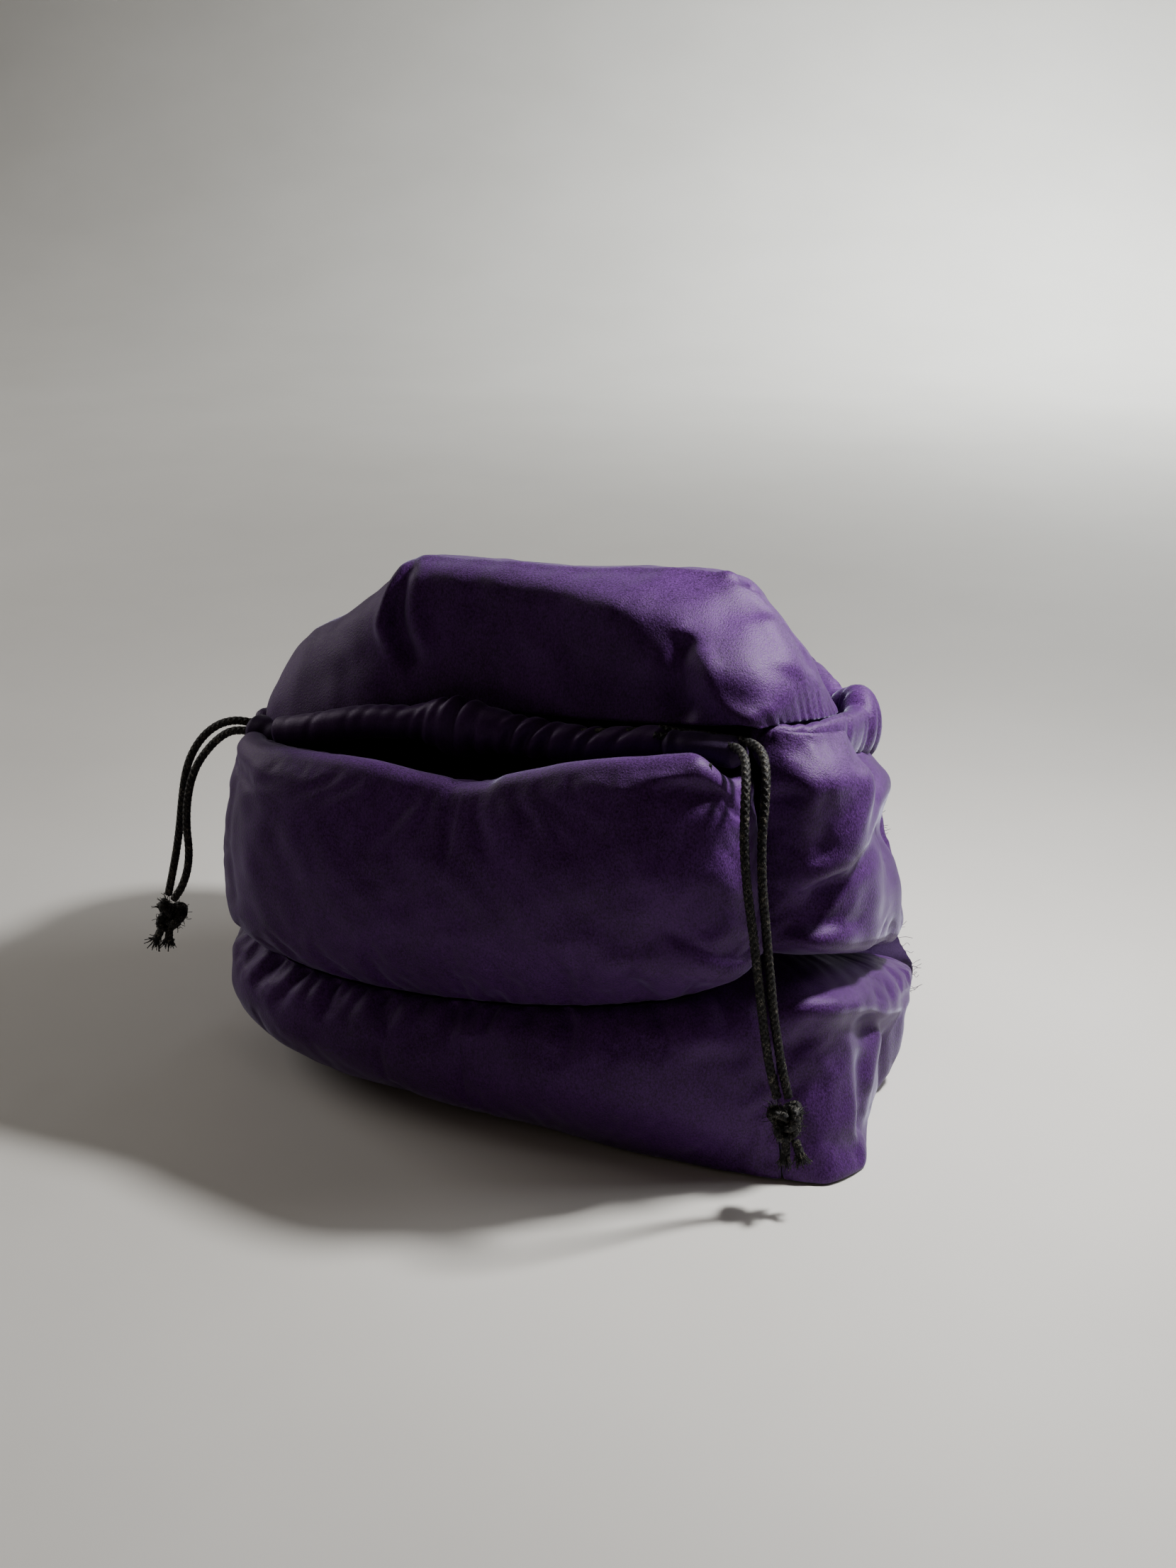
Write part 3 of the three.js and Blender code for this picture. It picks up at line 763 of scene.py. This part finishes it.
# Single folds of the walls: the line each follows, its height, its half width, and its fade.
WALL_FOLDS = {
    ("front", "upper"): [
        ([(-76, -46, 92), (-74, -50, 70), (-71, -52, 44)], -0.8, 2.2),
        ([(-70, -54, 88), (-60, -60, 70), (-64, -58, 48)], 0.8, 7),
        ([(20, -60, 72), (45, -60, 66), (66, -52, 70)], -1.2, 7),
        ([(40, -60, 84), (56, -56, 80), (68, -48, 82)], 1.2, 5),
        ([(30, -60, 56), (52, -58, 58), (70, -48, 66)], 1.0, 5),
        ([(-30, -58, 84), (0, -60, 80), (30, -58, 84)], -0.8, 8),
        ([(-8, -54, 92), (-2, -53, 93), (8, -54, 96)], -1.2, 3),
    ],
    ("right", "upper"): [
        ([(74, -38, 104), (79, -37, 98), (79, -38, 88), (77, -41, 76)], 2.0, 3.0, (0.3, 0.3)),
        ([(82, -14, 101), (85, -20, 93), (84, -30, 82), (78, -41, 73)], 3.0, 5.0, (0.25, 0.1)),
        ([(78, -34, 98), (81, -32, 90), (80, -38, 80)], -1.6, 2.6, (0.2, 0.3)),
        ([(82, -2, 97), (84, -6, 91), (85, -12, 86)], -1.6, 3.0, (0.2, 0.3)),
        ([(76, -44, 66), (82, -37, 71), (85, -23, 76), (84, -6, 77), (83, 8, 75)], -4.2, 3.2, (0, 0.15)),
        ([(84, -2, 75), (84, 10, 73), (83, 20, 69), (80, 30, 65)], -3.6, 7, (0.15, 0.05)),
        ([(84, -34, 78), (86, -20, 83), (84, -4, 85), (80, 14, 83), (76, 30, 78)], 2.2, 3.2, (0.1, 0.1)),
        ([(84, -24, 64), (88, -6, 58), (88, 14, 50)], 1.6, 9, (0.2, 0.1)),
        ([(77, -46, 61), (84, -33, 60), (87, -17, 54), (89, 6, 44), (85, 28, 36)], 2.2, 3.6, (0.1, 0.1)),
        ([(80, -42, 67), (85, -24, 62), (87, -4, 54)], -1.4, 2.6, (0, 0.4)),
    ],
    ("right", "lower"): [
        ([(80, -45, 46), (87, -32, 42), (91, -10, 31), (91, 8, 24), (88, 26, 19)], 1.6, 2.2, (0.05, 0.1)),
        ([(81, -42, 42), (88, -30, 37), (92, -10, 27), (91, 8, 20)], -1.2, 2.6, (0.05, 0.3)),
        ([(82, -42, 36), (88, -28, 35), (91, -8, 25)], -1.8, 4, (0, 0.3)),
        ([(90, -8, 28), (92, -17, 21), (92, -24, 14)], 2.0, 4.5, (0.2, 0.2)),
        ([(89, -22, 27), (92, -26, 18), (93, -28, 6)], -1.8, 3.5, (0.2, 0.1)),
        ([(91, -2, 22), (91, 0, 12), (90, 2, 4)], -2.2, 3, (0.2, 0)),
        ([(90, 10, 24), (89, 12, 12), (88, 12, 4)], 1.8, 4, (0.2, 0)),
        ([(88, 20, 15), (85, 30, 13), (80, 40, 13)], -3.0, 4, (0.3, 0)),
    ],
    ("front", "lower"): [
        ([(70, -50, 50), (76, -48, 36), (80, -44, 20)], 1.6, 4, (0.1, 0.3)),
        ([(-66, -48, 26), (-30, -58, 20), (10, -60, 18)], 1.2, 8),
        ([(60, -56, 38), (66, -56, 24), (72, -54, 8)], -1.2, 5),
    ],
}


def add_folds(grid, folds):
    for settings in folds:
        grid = fold(grid, *settings)
    return grid


def make_wall(side, tier):
    grid, along, s = wall_grid(side, tier)
    rows, columns = grid.shape[:2]
    length = along[0, -1]
    if tier == "lower":
        away = (1 - s) ** 1.5 * LOWER_HEIGHT + (1 - s) * 6
        spare = np.clip(1 - (1 - s) * 3, 0, 1)
    else:
        away = np.arange(rows)[:, None] * STEP
        spare = np.clip(1 - away / 14, 0, 1) * 0.6
    spare = spare + np.zeros((1, columns))
    pins = edge_pins(rows, columns)
    if (side, tier) == ("front", "upper"):
        pins[-LAP_ROWS:] = 1
    gather, most = (0.04, 1.2) if side == "right" else (0.12, 4.0)
    grid = simulate(grid, pins, spare, gather, most)
    seed = 20 + 3 * list(WALLS).index(side) + (tier == "upper")
    deep = 3.6 if tier == "lower" else 1.1
    reach = 14 if tier == "lower" else 8
    if side == "right":
        deep, reach = deep * 0.2, reach * 0.5
    last = length * 0.62 if side == "front" else length
    pucker = gathers(along, away, 2, last, 5.6, deep, reach, seed)
    if side == "front":
        pucker = pucker + gathers(along, away, last, length - 4, 8, deep * 0.5, reach * 0.7, seed + 50)
    grid = raised(grid, pucker * smoothstep(away, -0.2, 2.0))
    from_seam = (1 - s) * LOWER_HEIGHT if tier == "lower" else np.arange(rows)[:, None] * STEP
    folded = add_folds(grid, WALL_FOLDS.get((side, tier), []))
    grid = grid + (folded - grid) * smoothstep(from_seam, 0.3, 4.5)[..., None]
    middle = np.sin(np.pi * shares(rows))
    waves = 0.35 * ripples(grid, 26, seed + 80) + 0.14 * ripples(grid, 9, seed + 90)
    grid = raised(grid, waves * middle)
    grid[..., 2] = np.maximum(grid[..., 2], 0.3)
    name = f"{tier}_{side}_panel"
    piece = smooth_piece(cloth_shell(f"{name}_cloth", grid, CLOTH, "satin", "sack"))
    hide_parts(name)


for tier in ("lower", "upper"):
    for side in WALLS:
        make_wall(side, tier)


# ---- Rolled bands: the rim, the casings, the hems
ROLL_SQUARENESS = 0.85


def roll(name, line, wide, high, slot, body, spacing, depth, slant=0.0, seed=1, sides=40):
    """A rolled, gathered band of cloth along a line; wide and high are its half sizes."""
    tangent = np.gradient(line, axis=0)
    side = unit(np.cross(tangent, [0, 0, 1.0]))
    up = unit(np.cross(side, tangent))
    count = len(line)
    wide, high, depth = (np.broadcast_to(v, count)[:, None] for v in (wide, high, depth))
    along = running_length(line)[:, None]
    turn = np.linspace(0, 2 * math.pi, sides, endpoint=False)[None]
    r = np.random.default_rng(seed)
    dent = np.zeros((count, sides))
    place = 0.0
    while place < along[-1, 0]:
        lean = slant + r.normal(0, 0.5)
        middle = r.uniform(0, 2 * math.pi)
        round_it = 0.55 + 0.45 * np.cos(turn - middle)
        groove = bell(along - place - lean * np.sin(turn - 0.6), 0, spacing * 0.24)
        dent = dent - r.uniform(0.5, 1.2) * groove * round_it
        place += spacing * r.uniform(0.6, 1.5)
    c, s = np.cos(turn), np.sin(turn)
    u = wide * np.sign(c) * np.abs(c) ** ROLL_SQUARENESS
    v = high * np.sign(s) * np.abs(s) ** ROLL_SQUARENESS
    scale = 1 + (dent + 0.3) * depth / np.maximum(np.hypot(u, v), 1e-6)
    close = np.minimum(along, along[-1] - along) / 3.0
    scale = scale * np.sqrt(np.clip(close, 0.02, 1))
    points = line[:, None] + side[:, None] * (u * scale)[..., None] + up[:, None] * (v * scale)[..., None]
    points = np.vstack([points.reshape(-1, 3), line[0], line[-1]])
    return new_object(name, points, tube_faces(count, sides), slot, body)


LINE_STEP = 0.9  # spacing of the points along a band's middle line


def outline_line(start, end, inset, height):
    """A line round the sack at an inset; height(x, y) gives its Z."""
    angles = even_angles(start, end, LINE_STEP, inset)[0]
    x, y = plan(angles, inset)
    return np.stack([x, y, height(x, y)], axis=1), angles


BAND_INSET = [  # how far in the middle of the rolled band runs
    (142, 8.5), (185, 8.8), (196, 8), (322, 16), (332, 13.4), (345, 11.4), (355, 11), (370, 15),
    (380, 18.4), (390, 19), (398, 20), (410, 17.5), (425, 12), (440, 8.5), (480, 8),
]


def make_rim_band():
    angles = outline_line(SEAM_RIGHT + 1, SEAM_LEFT - 6, 8, rim)[1]
    lump = bell(angles, 13, 9)
    near = smoothstep(-angles, -10, 8)
    x, y = plan(angles, by_angle(angles, BAND_INSET) + 2.6 * near)
    z = rim(x, y) - BAND / 2 + 0.5 + 0.6 * near + 1.6 * lump
    line = np.stack([x, y, z], axis=1)
    line[:, 2] += 0.5 * ripples(line, 30, 5)
    piece = roll(
        "rim_band_cloth", line, 4.4 + 0.4 * lump - 1.8 * near, 5.0 + 3.6 * lump + 0.6 * near, "satin", "sack",
        spacing=6.0, depth=1.2 + 3.4 * lump - 0.5 * near, slant=3.2, seed=3,
    )
    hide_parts("rim_band")


def make_front_casing():
    line, _ = outline_line(214, 304, 10.2, lambda x, y: rim(x, y) - 5.6)
    piece = roll("front_casing_cloth", line, 3.9, 4.3, "lining", "sack", spacing=6, depth=0.7, seed=4)
    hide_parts("front_casing")


def make_back_casing():
    route = [
        (-70, -32.6, 89.6), (-59, -34.4, 92.6), (-48, -35.6, 96), (-38, -36, 98.6), (-26, -36.4, 100),
        (-12, -36.8, 101.2), (4, -37, 101.2), (18, -37, 101.4), (30, -37, 103), (39, -37, 104.6),
        (45, -37, 105.4),
    ]
    line = smooth_line(route, 240)
    x = line[:, 0]
    ruffled = smoothstep(x, -27, -17)
    high = 4.2 + 2.4 * bell(x, -13, 7) + 0.6 * ruffled - 1.2 * smoothstep(x, 4, 30)
    depth = 0.3 + 2.0 * bell(x, -10, 14) + 0.9 * ruffled
    piece = roll(
        "back_casing_cloth", line, 3.6, high, "lining", "hood", spacing=5.4, depth=depth, slant=2.2, seed=8,
    )
    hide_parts("back_casing")


def make_corner_sleeves():
    left = smooth_line([(-80, -30.1, 88.6), (-72, -30.6, 88.4), (-64, -31, 88.2), (-56, -31.6, 88.6)], 60)
    right = smooth_line([(64, -38, 105.6), (54, -38, 105.4), (42, -38, 105)], 54)
    # The sleeves take the darker satin: painted shade for their place inside the mouth.
    for side, line, high in (("left", left, 4.2), ("right", right, 3.6)):
        name = f"{side}_sleeve_cloth"
        piece = roll(name, line, 4.1, high, "satin_shade", "sack", spacing=6, depth=0.5, slant=1.0, seed=9)
        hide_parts(f"{side}_corner_sleeve")


make_rim_band()
make_front_casing()
make_back_casing()
make_corner_sleeves()


# ---- Hood
# Stations run from the left mouth corner to the right one. Each goes from the lip up the front,
# over the edge, across the crown and down to the back.
HOOD_STATIONS = [
    [(-74, -30, 91), (-76, -27, 93), (-77.5, -22, 96), (-78, -17, 98),
     (-78, -12, 98.6), (-78, 4, 97), (-76, 16, 94.5), (-72, 28, 92)],
    [(-67, -33, 93), (-69, -29, 99), (-70, -24, 105), (-70, -18, 109.6),
     (-69.5, -13, 110.8), (-70, 6, 106.5), (-68, 28, 100), (-64, 42, 93)],
    [(-53, -34, 97), (-54.5, -30, 105), (-55, -26, 112.4), (-54.5, -21, 118.6),
     (-53.5, -16, 120.4), (-54, 8, 114.5), (-54, 32, 107), (-53, 47, 96)],
    [(-38, -34, 101), (-37, -31, 112), (-36, -28, 124), (-34, -25, 133),
     (-32.4, -20, 137), (-34, 8, 129), (-34, 35, 116), (-35, 51, 99)],
    [(-25, -33, 103), (-27, -30.5, 114), (-28.5, -28.5, 127), (-29.5, -26, 135.6),
     (-29.5, -19.5, 138.2), (-29, 10, 129.5), (-28, 37, 117), (-28, 52, 100)],
    [(2, -32, 105), (2, -30.5, 116), (2, -29, 128), (2, -26.8, 136.6),
     (2, -18.5, 139), (3, 12, 130), (2, 38, 118), (0, 53, 102)],
    [(28, -33, 107), (28, -32, 117), (29, -31.5, 128), (30, -29.5, 135),
     (30.5, -13, 139.8), (31, 12, 131.5), (30, 36, 118), (29, 51, 102)],
    [(43, -35, 109), (44, -34.5, 117), (45.5, -33.5, 124), (47.5, -28, 130),
     (48, -9, 139.3), (47, 10, 132.5), (44, 32, 117), (42, 46, 101.5)],
    [(56, -37, 111), (58.5, -36, 116), (61, -33.5, 121), (61.5, -26, 125.6),
     (57.5, -8, 132.4), (52, 11, 126), (46, 29, 113.5), (46, 41, 100.5)],
    [(63, -37, 112), (66, -35, 115), (68.3, -29, 117), (69.5, -20, 118.6),
     (69, -6, 119), (62.5, 9, 115), (55, 24, 108), (52, 35, 99)],
    [(66, -35.5, 111.4), (69, -29.5, 110.8), (72, -21, 109.4), (74, -12, 107.6),
     (74.2, -3, 105.8), (71, 8, 103.6), (65.5, 18, 101.2), (58, 28, 98)],
]


# Lengths of the hood's cloth: across, along its right end, from front to back, along its back edge.
HOOD_WIDTH, HOOD_END, HOOD_DEPTH, HOOD_BACK = 150, 78.0, 110, 160
HOOD_FOLDS = [
    # left: a fold hangs from the corner of the crown
    ([(-32, -21, 137), (-37, -26, 129), (-38, -28, 121), (-33, -30, 112)], 2.6, 2.2, (0.1, 0.4)),
    ([(-31, -22, 136.5), (-34, -26, 128), (-33, -28, 120), (-27, -31, 110)], -3.4, 2.4, (0.05, 0.3)),
    ([(-29, -23, 136), (-29, -27, 126), (-22, -30, 113)], 1.4, 2.4, (0.1, 0.3)),
    # the crown's crisp edges
    ([(-70, -14, 110.6), (-54, -17, 120.2), (-33, -20, 137), (-28, -20, 138.3)], 0.9, 1.5, (0.1, 0.1)),
    ([(-32.4, -20, 137), (-29.5, -19.5, 138.4), (2, -18.5, 139.2), (30, -13, 140), (48, -9, 139.4)],
     0.7, 1.4, (0.02, 0.05)),
    ([(48, -9, 139), (58, -8, 132), (69, -6, 119)], 0.8, 2.0, (0.1, 0.2)),
    # right: a crease falls from the crown's front edge to the mouth corner
    ([(47, -31, 132), (51, -34, 126), (54, -35, 118), (61, -37, 114), (66, -37, 113)],
     1.5, 2.4, (0.1, 0.1)),
    ([(45, -31, 131), (43.5, -33, 123), (45, -34, 115), (50, -36, 110)], -2.6, 3.2, (0.1, 0.2)),
    ([(26, -28, 136), (34, -29, 133), (42, -29, 129)], -0.8, 4),
    # the dimpled corner above the right end
    ([(49.5, -11, 139.5), (52, -6, 138), (53, 0, 135)], -2.6, 1.8, (0.3, 0.3)),
    ([(44, -10, 140), (49, -8, 139.5), (53, -9, 136)], 1.4, 2.0, (0.3, 0.3)),
    ([(58, -12, 133), (64, -16, 126), (68, -22, 119)], 1.0, 5),
    ([(56, 0, 134), (64, -6, 126), (71, -12, 117)], -0.9, 4),
]


def hood_grid():
    rows = 84
    columns = 170
    profiles = [smooth_line(station, rows) for station in HOOD_STATIONS]
    across = [smooth_line([p[j] for p in profiles], columns) for j in range(rows)]
    return np.array(across)


def make_hood():
    grid = hood_grid()
    rows, columns = grid.shape[:2]
    s, t = shares(rows), shares(columns).T
    grid = add_folds(grid, HOOD_FOLDS)
    right_end = (1 - t) * HOOD_WIDTH
    pucker = gathers(s * HOOD_END, right_end, 3, HOOD_END, spacing=2.9, depth=0.75, reach=9, seed=31)
    above_back = (1 - s) * HOOD_DEPTH
    back = gathers(t * HOOD_BACK, above_back, 2, HOOD_BACK - 2, spacing=6, depth=1.2, reach=12, seed=32)
    waves = 0.3 * ripples(grid, 30, 33) + 0.1 * ripples(grid, 9, 34)
    grid = raised(grid, pucker + back + waves)
    piece = smooth_piece(cloth_shell("hood_cloth", grid, CLOTH, "satin", None))
    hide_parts("hood_panel")
    return piece


def bake_modifiers(piece):
    """Apply a piece's modifiers, which a blended piece must not have."""
    shown = piece.evaluated_get(bpy.context.evaluated_depsgraph_get())
    mesh = bpy.data.meshes.new_from_object(shown)
    piece.modifiers.clear()
    piece.data = mesh
    return piece


hood = bake_modifiers(make_hood())
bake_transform(hood)


# ---- Inside: lining, pockets, and the curtain that joins the hood to the well
FLOOR_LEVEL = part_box("lining_floor")[1][2] / MM
LINING_INSET = 18
POCKET_INSET = 30
INSIDE_CLOTH, THIN_CLOTH = 1.0, 0.7  # thicknesses shown: of the lining, of a single raw layer
WELL_DEPTH, WELL_ROWS_LENGTH = 72, 76  # the well's depth, and the length that its rows share out


def inner_wall(name, start, end, inset, top, slot, seed, slack=1.0):
    angles, length = even_angles(start, end, 2.0 * STEP, inset)
    s = shares(int(WELL_ROWS_LENGTH / (2.0 * STEP)) + 1)
    x, y = plan(angles[None], inset + 0 * s)
    z = FLOOR_LEVEL + 0.4 + (top(x, y) - FLOOR_LEVEL - 0.4) * s
    grid = np.stack([x, y, z], axis=2)
    lift = slack * np.sin(np.pi * s) * ripples(grid * (1, 1, 0.3), 22, seed)
    along = np.linspace(0, length, len(angles))[None]
    below = (1 - s) * WELL_DEPTH
    lift = lift + gathers(along, below, 0, length, spacing=7, depth=slack, reach=24, seed=seed + 1)
    piece = cloth_shell(name, raised(grid, lift), INSIDE_CLOTH, slot, "sack")
    return smooth_piece(piece), (round(length * MM, 3), round(WELL_DEPTH * MM, 3))


def lining_top(x, y):
    return 76 + 0.13 * x + 0 * y


def make_inside():
    piece, flat = inner_wall("lining_cloth", 0, 360, LINING_INSET, lining_top, "lining", 41)
    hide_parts("lining_wall")
    for side, start, end, lift in (("front", 212, 328, 7), ("back", 32, 148, 0)):
        top = lambda x, y, lift=lift: lining_top(x, y) + lift
        name = f"{side}_pocket_cloth"
        piece, flat = inner_wall(name, start, end, POCKET_INSET, top, "lining", 43, slack=0.8)
        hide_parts(f"{side}_pocket_panel")
        line, _ = outline_line(start, end, POCKET_INSET + 1, lambda x, y, top=top: top(x, y) + 2.4)
        hem = roll(
            f"{side}_pocket_hem", line, 1.3, 2.2, "elastic", "sack",
            spacing=3.2, depth=0.5, slant=0.3, seed=44, sides=20,
        )
        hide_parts(f"{side}_pocket_elastic_hem")


def make_curtain():
    """The lining between the hood's lower edge and the well, slack so that the hood can lift.

    It runs from one mouth corner round the back to the other, and leaves the mouth open.
    """
    hood_edge = smooth_line([
        (67.5, -27, 110), (71, -16, 108.5), (71.5, -3, 107), (67.5, 8, 104.5), (62, 18, 103), (52, 28, 101.5),
        (41, 38.5, 103), (20, 43.5, 105), (0, 44.5, 106), (-28, 41.5, 104), (-48, 36.5, 100.5), (-58, 33, 98),
        (-67, 23.5, 97), (-72.5, 11, 98), (-74.5, -4, 99), (-73.8, -13, 99.5), (-73, -19, 98.5)], 132)
    angles = np.degrees(np.arctan2(hood_edge[:, 1] / 44, hood_edge[:, 0] / 70))
    x, y = plan(angles, LINING_INSET + 2.4)
    lower = np.stack([x, y, lining_top(x, y) - 4], axis=1)
    t = np.linspace(0, 1, 14)[:, None, None]
    grid = lower[None] * (1 - t) + hood_edge[None] * t
    lift = np.sin(np.pi * t[..., 0]) * (1.2 * ripples(grid * (1, 1, 0.3), 14, 51) - 1.5)
    piece = cloth_shell("hood_lining_curtain", raised(grid, -lift), THIN_CLOTH, "lining", None)
    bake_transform(piece)


make_inside()
make_curtain()


# ---- Raw seam edges at the back corners
def make_seam_edge(side, degrees, seed):
    r = np.random.default_rng(seed)
    top = 66
    rows, columns = 90, 20
    s, t = shares(rows), shares(columns).T
    ragged = -0.6 * np.sin(9 * s) + 0.5 * np.sin(23 * s + 1) + r.normal(0, 0.14, (rows, 1))
    outer_inset = -4.2 + 11.5 * smoothstep(s, 0.2, 0.75) + 4.5 * smoothstep(0.16 - s, 0, 0.16) + ragged
    x, y = plan(degrees, 18 + (outer_inset - 18) * t)
    outer = np.array(plan(degrees, 0)) - np.array(plan(degrees, 10))
    outer /= np.linalg.norm(outer)
    sideways = np.array([-outer[1], outer[0]])
    sway = (2.2 * np.sin(7 * s + seed) + 1.2 * np.sin(17 * s) + 0.5 * np.sin(41 * s)) * t**1.6
    z = 2 + (top - 2) * s + 0.8 * np.sin(13 * s) * t
    grid = np.stack([x + sway * sideways[0], y + sway * sideways[1], z + 0 * t], axis=2)
    # The raw edge and its threads take the darker satin: painted shade.
    piece = smooth_piece(cloth_shell(f"seam_edge_{side}_raw", grid, THIN_CLOTH, "satin_shade", "sack"))
    threads = []
    for k in range(46):
        i = r.integers(2, rows - 2)
        start = grid[i, -1]
        drift = r.normal(0, 1, 3)
        reach = r.uniform(1.2, 4.2)
        tip = start + np.append(outer, 0) * reach + drift * 0.5 * reach * 0.5
        bend = (start + tip) / 2 + r.normal(0, 0.4, 3)
        line = smooth_line([start - np.append(outer, 0), start, bend, tip], 10)
        threads.append(braided_tube(f"thread_{k}", line, 0.07, "satin_shade", None, 5, 0))
    fringe = join(threads, f"seam_edge_{side}_threads", "satin_shade", "sack")
    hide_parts(f"seam_edge_{side}")


make_seam_edge("right", SEAM_BACK_RIGHT, 61)
make_seam_edge("left", SEAM_BACK_LEFT, 62)


# ---- CAD nodes that stay
# The base panel takes the darker satin: painted shade under the sack.
KEPT = {"base_panel": "satin_shade", "base_stiffener": "stiffener", "lining_floor": "lining"}
for side in ("left", "right"):
    KEPT.update({f"{side}_cord_front_run": "braid", f"{side}_cord_back_run": "braid"})
for node, slot in KEPT.items():
    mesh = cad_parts[node].data
    mesh.materials.clear()
    mesh.materials.append(MATERIALS[slot])


# ---- Light and floor
SWEEP_START, SWEEP_RADIUS, SWEEP_HALF, SWEEP_HEIGHT = 1.0, 0.9, 6.0, 3.0


def make_floor():
    """A pale paper sweep: flat under the bag, rising far behind it."""
    across = np.array(toward(LOOK_AZIMUTH + 90, 0))
    back = -np.array(toward(LOOK_AZIMUTH, 0))
    profile = [(-5.0, 0.0), (SWEEP_START, 0.0)]
    for turn in np.radians(np.arange(6, 91, 6)):
        out, up = SWEEP_RADIUS * math.sin(turn), SWEEP_RADIUS * (1 - math.cos(turn))
        profile.append((SWEEP_START + out, up))
    profile.append((SWEEP_START + SWEEP_RADIUS, SWEEP_HEIGHT))
    points = []
    for out, up in profile:
        for side in (-SWEEP_HALF, SWEEP_HALF):
            points.append(tuple(back * out + across * side + np.array([0, 0, up])))
    mesh = bpy.data.meshes.new("paper_sweep")
    mesh.from_pydata(points, [], grid_faces(len(profile), 2).tolist())
    mesh.shade_smooth()
    n = Nodes("paper")
    paper = n.noise(9, 4, 0.55)
    shades = [(0.3, (0.60, 0.59, 0.565)), (0.7, (0.64, 0.63, 0.605))]
    mesh.materials.append(n.surface({"Base Color": n.ramp(paper, shades), "Roughness": 0.6}))
    add_object("paper_sweep", mesh)


def make_light(name, place, target, size, power, color):
    data = bpy.data.lights.new(name, "AREA")
    data.shape, data.size, data.energy, data.color = "DISK", size, power, color
    light = add_object(name, data)
    light.location = place
    light.rotation_euler = (Vector(target) - Vector(place)).to_track_quat("-Z", "Y").to_euler()
    light.visible_camera = False


def make_studio():
    make_floor()
    world = bpy.data.worlds.new("studio")
    world.use_nodes = True
    background = world.node_tree.nodes["Background"]
    background.inputs["Color"].default_value = (1, 0.83, 0.68, 1)
    background.inputs["Strength"].default_value = 0.078
    bpy.context.scene.world = world
    make_light("key", (0.175, 0.075, 0.315), (0, 0, 0.05), 0.035, 2.3, (1, 0.985, 0.96))
    make_light("left fill", (-1.25, 0.12, 0.6), (0, 0, 0.05), 0.8, 6.5, (1, 0.96, 0.91))
    make_light("right fill", (0.72, 0.45, 0.62), (0.06, 0, 0.06), 0.4, 2.7, (0.98, 0.98, 1))
    make_light("backdrop", (0.75, 1.3, 1.1), (0.5, 2.15, 0.3), 0.5, 4.0, (1, 0.99, 0.97))
    make_light("glow", (-0.02, 1.14, 0.55), (-0.12, 1.34, 0.07), 0.16, 11, (0.97, 1, 0.99))


make_studio()
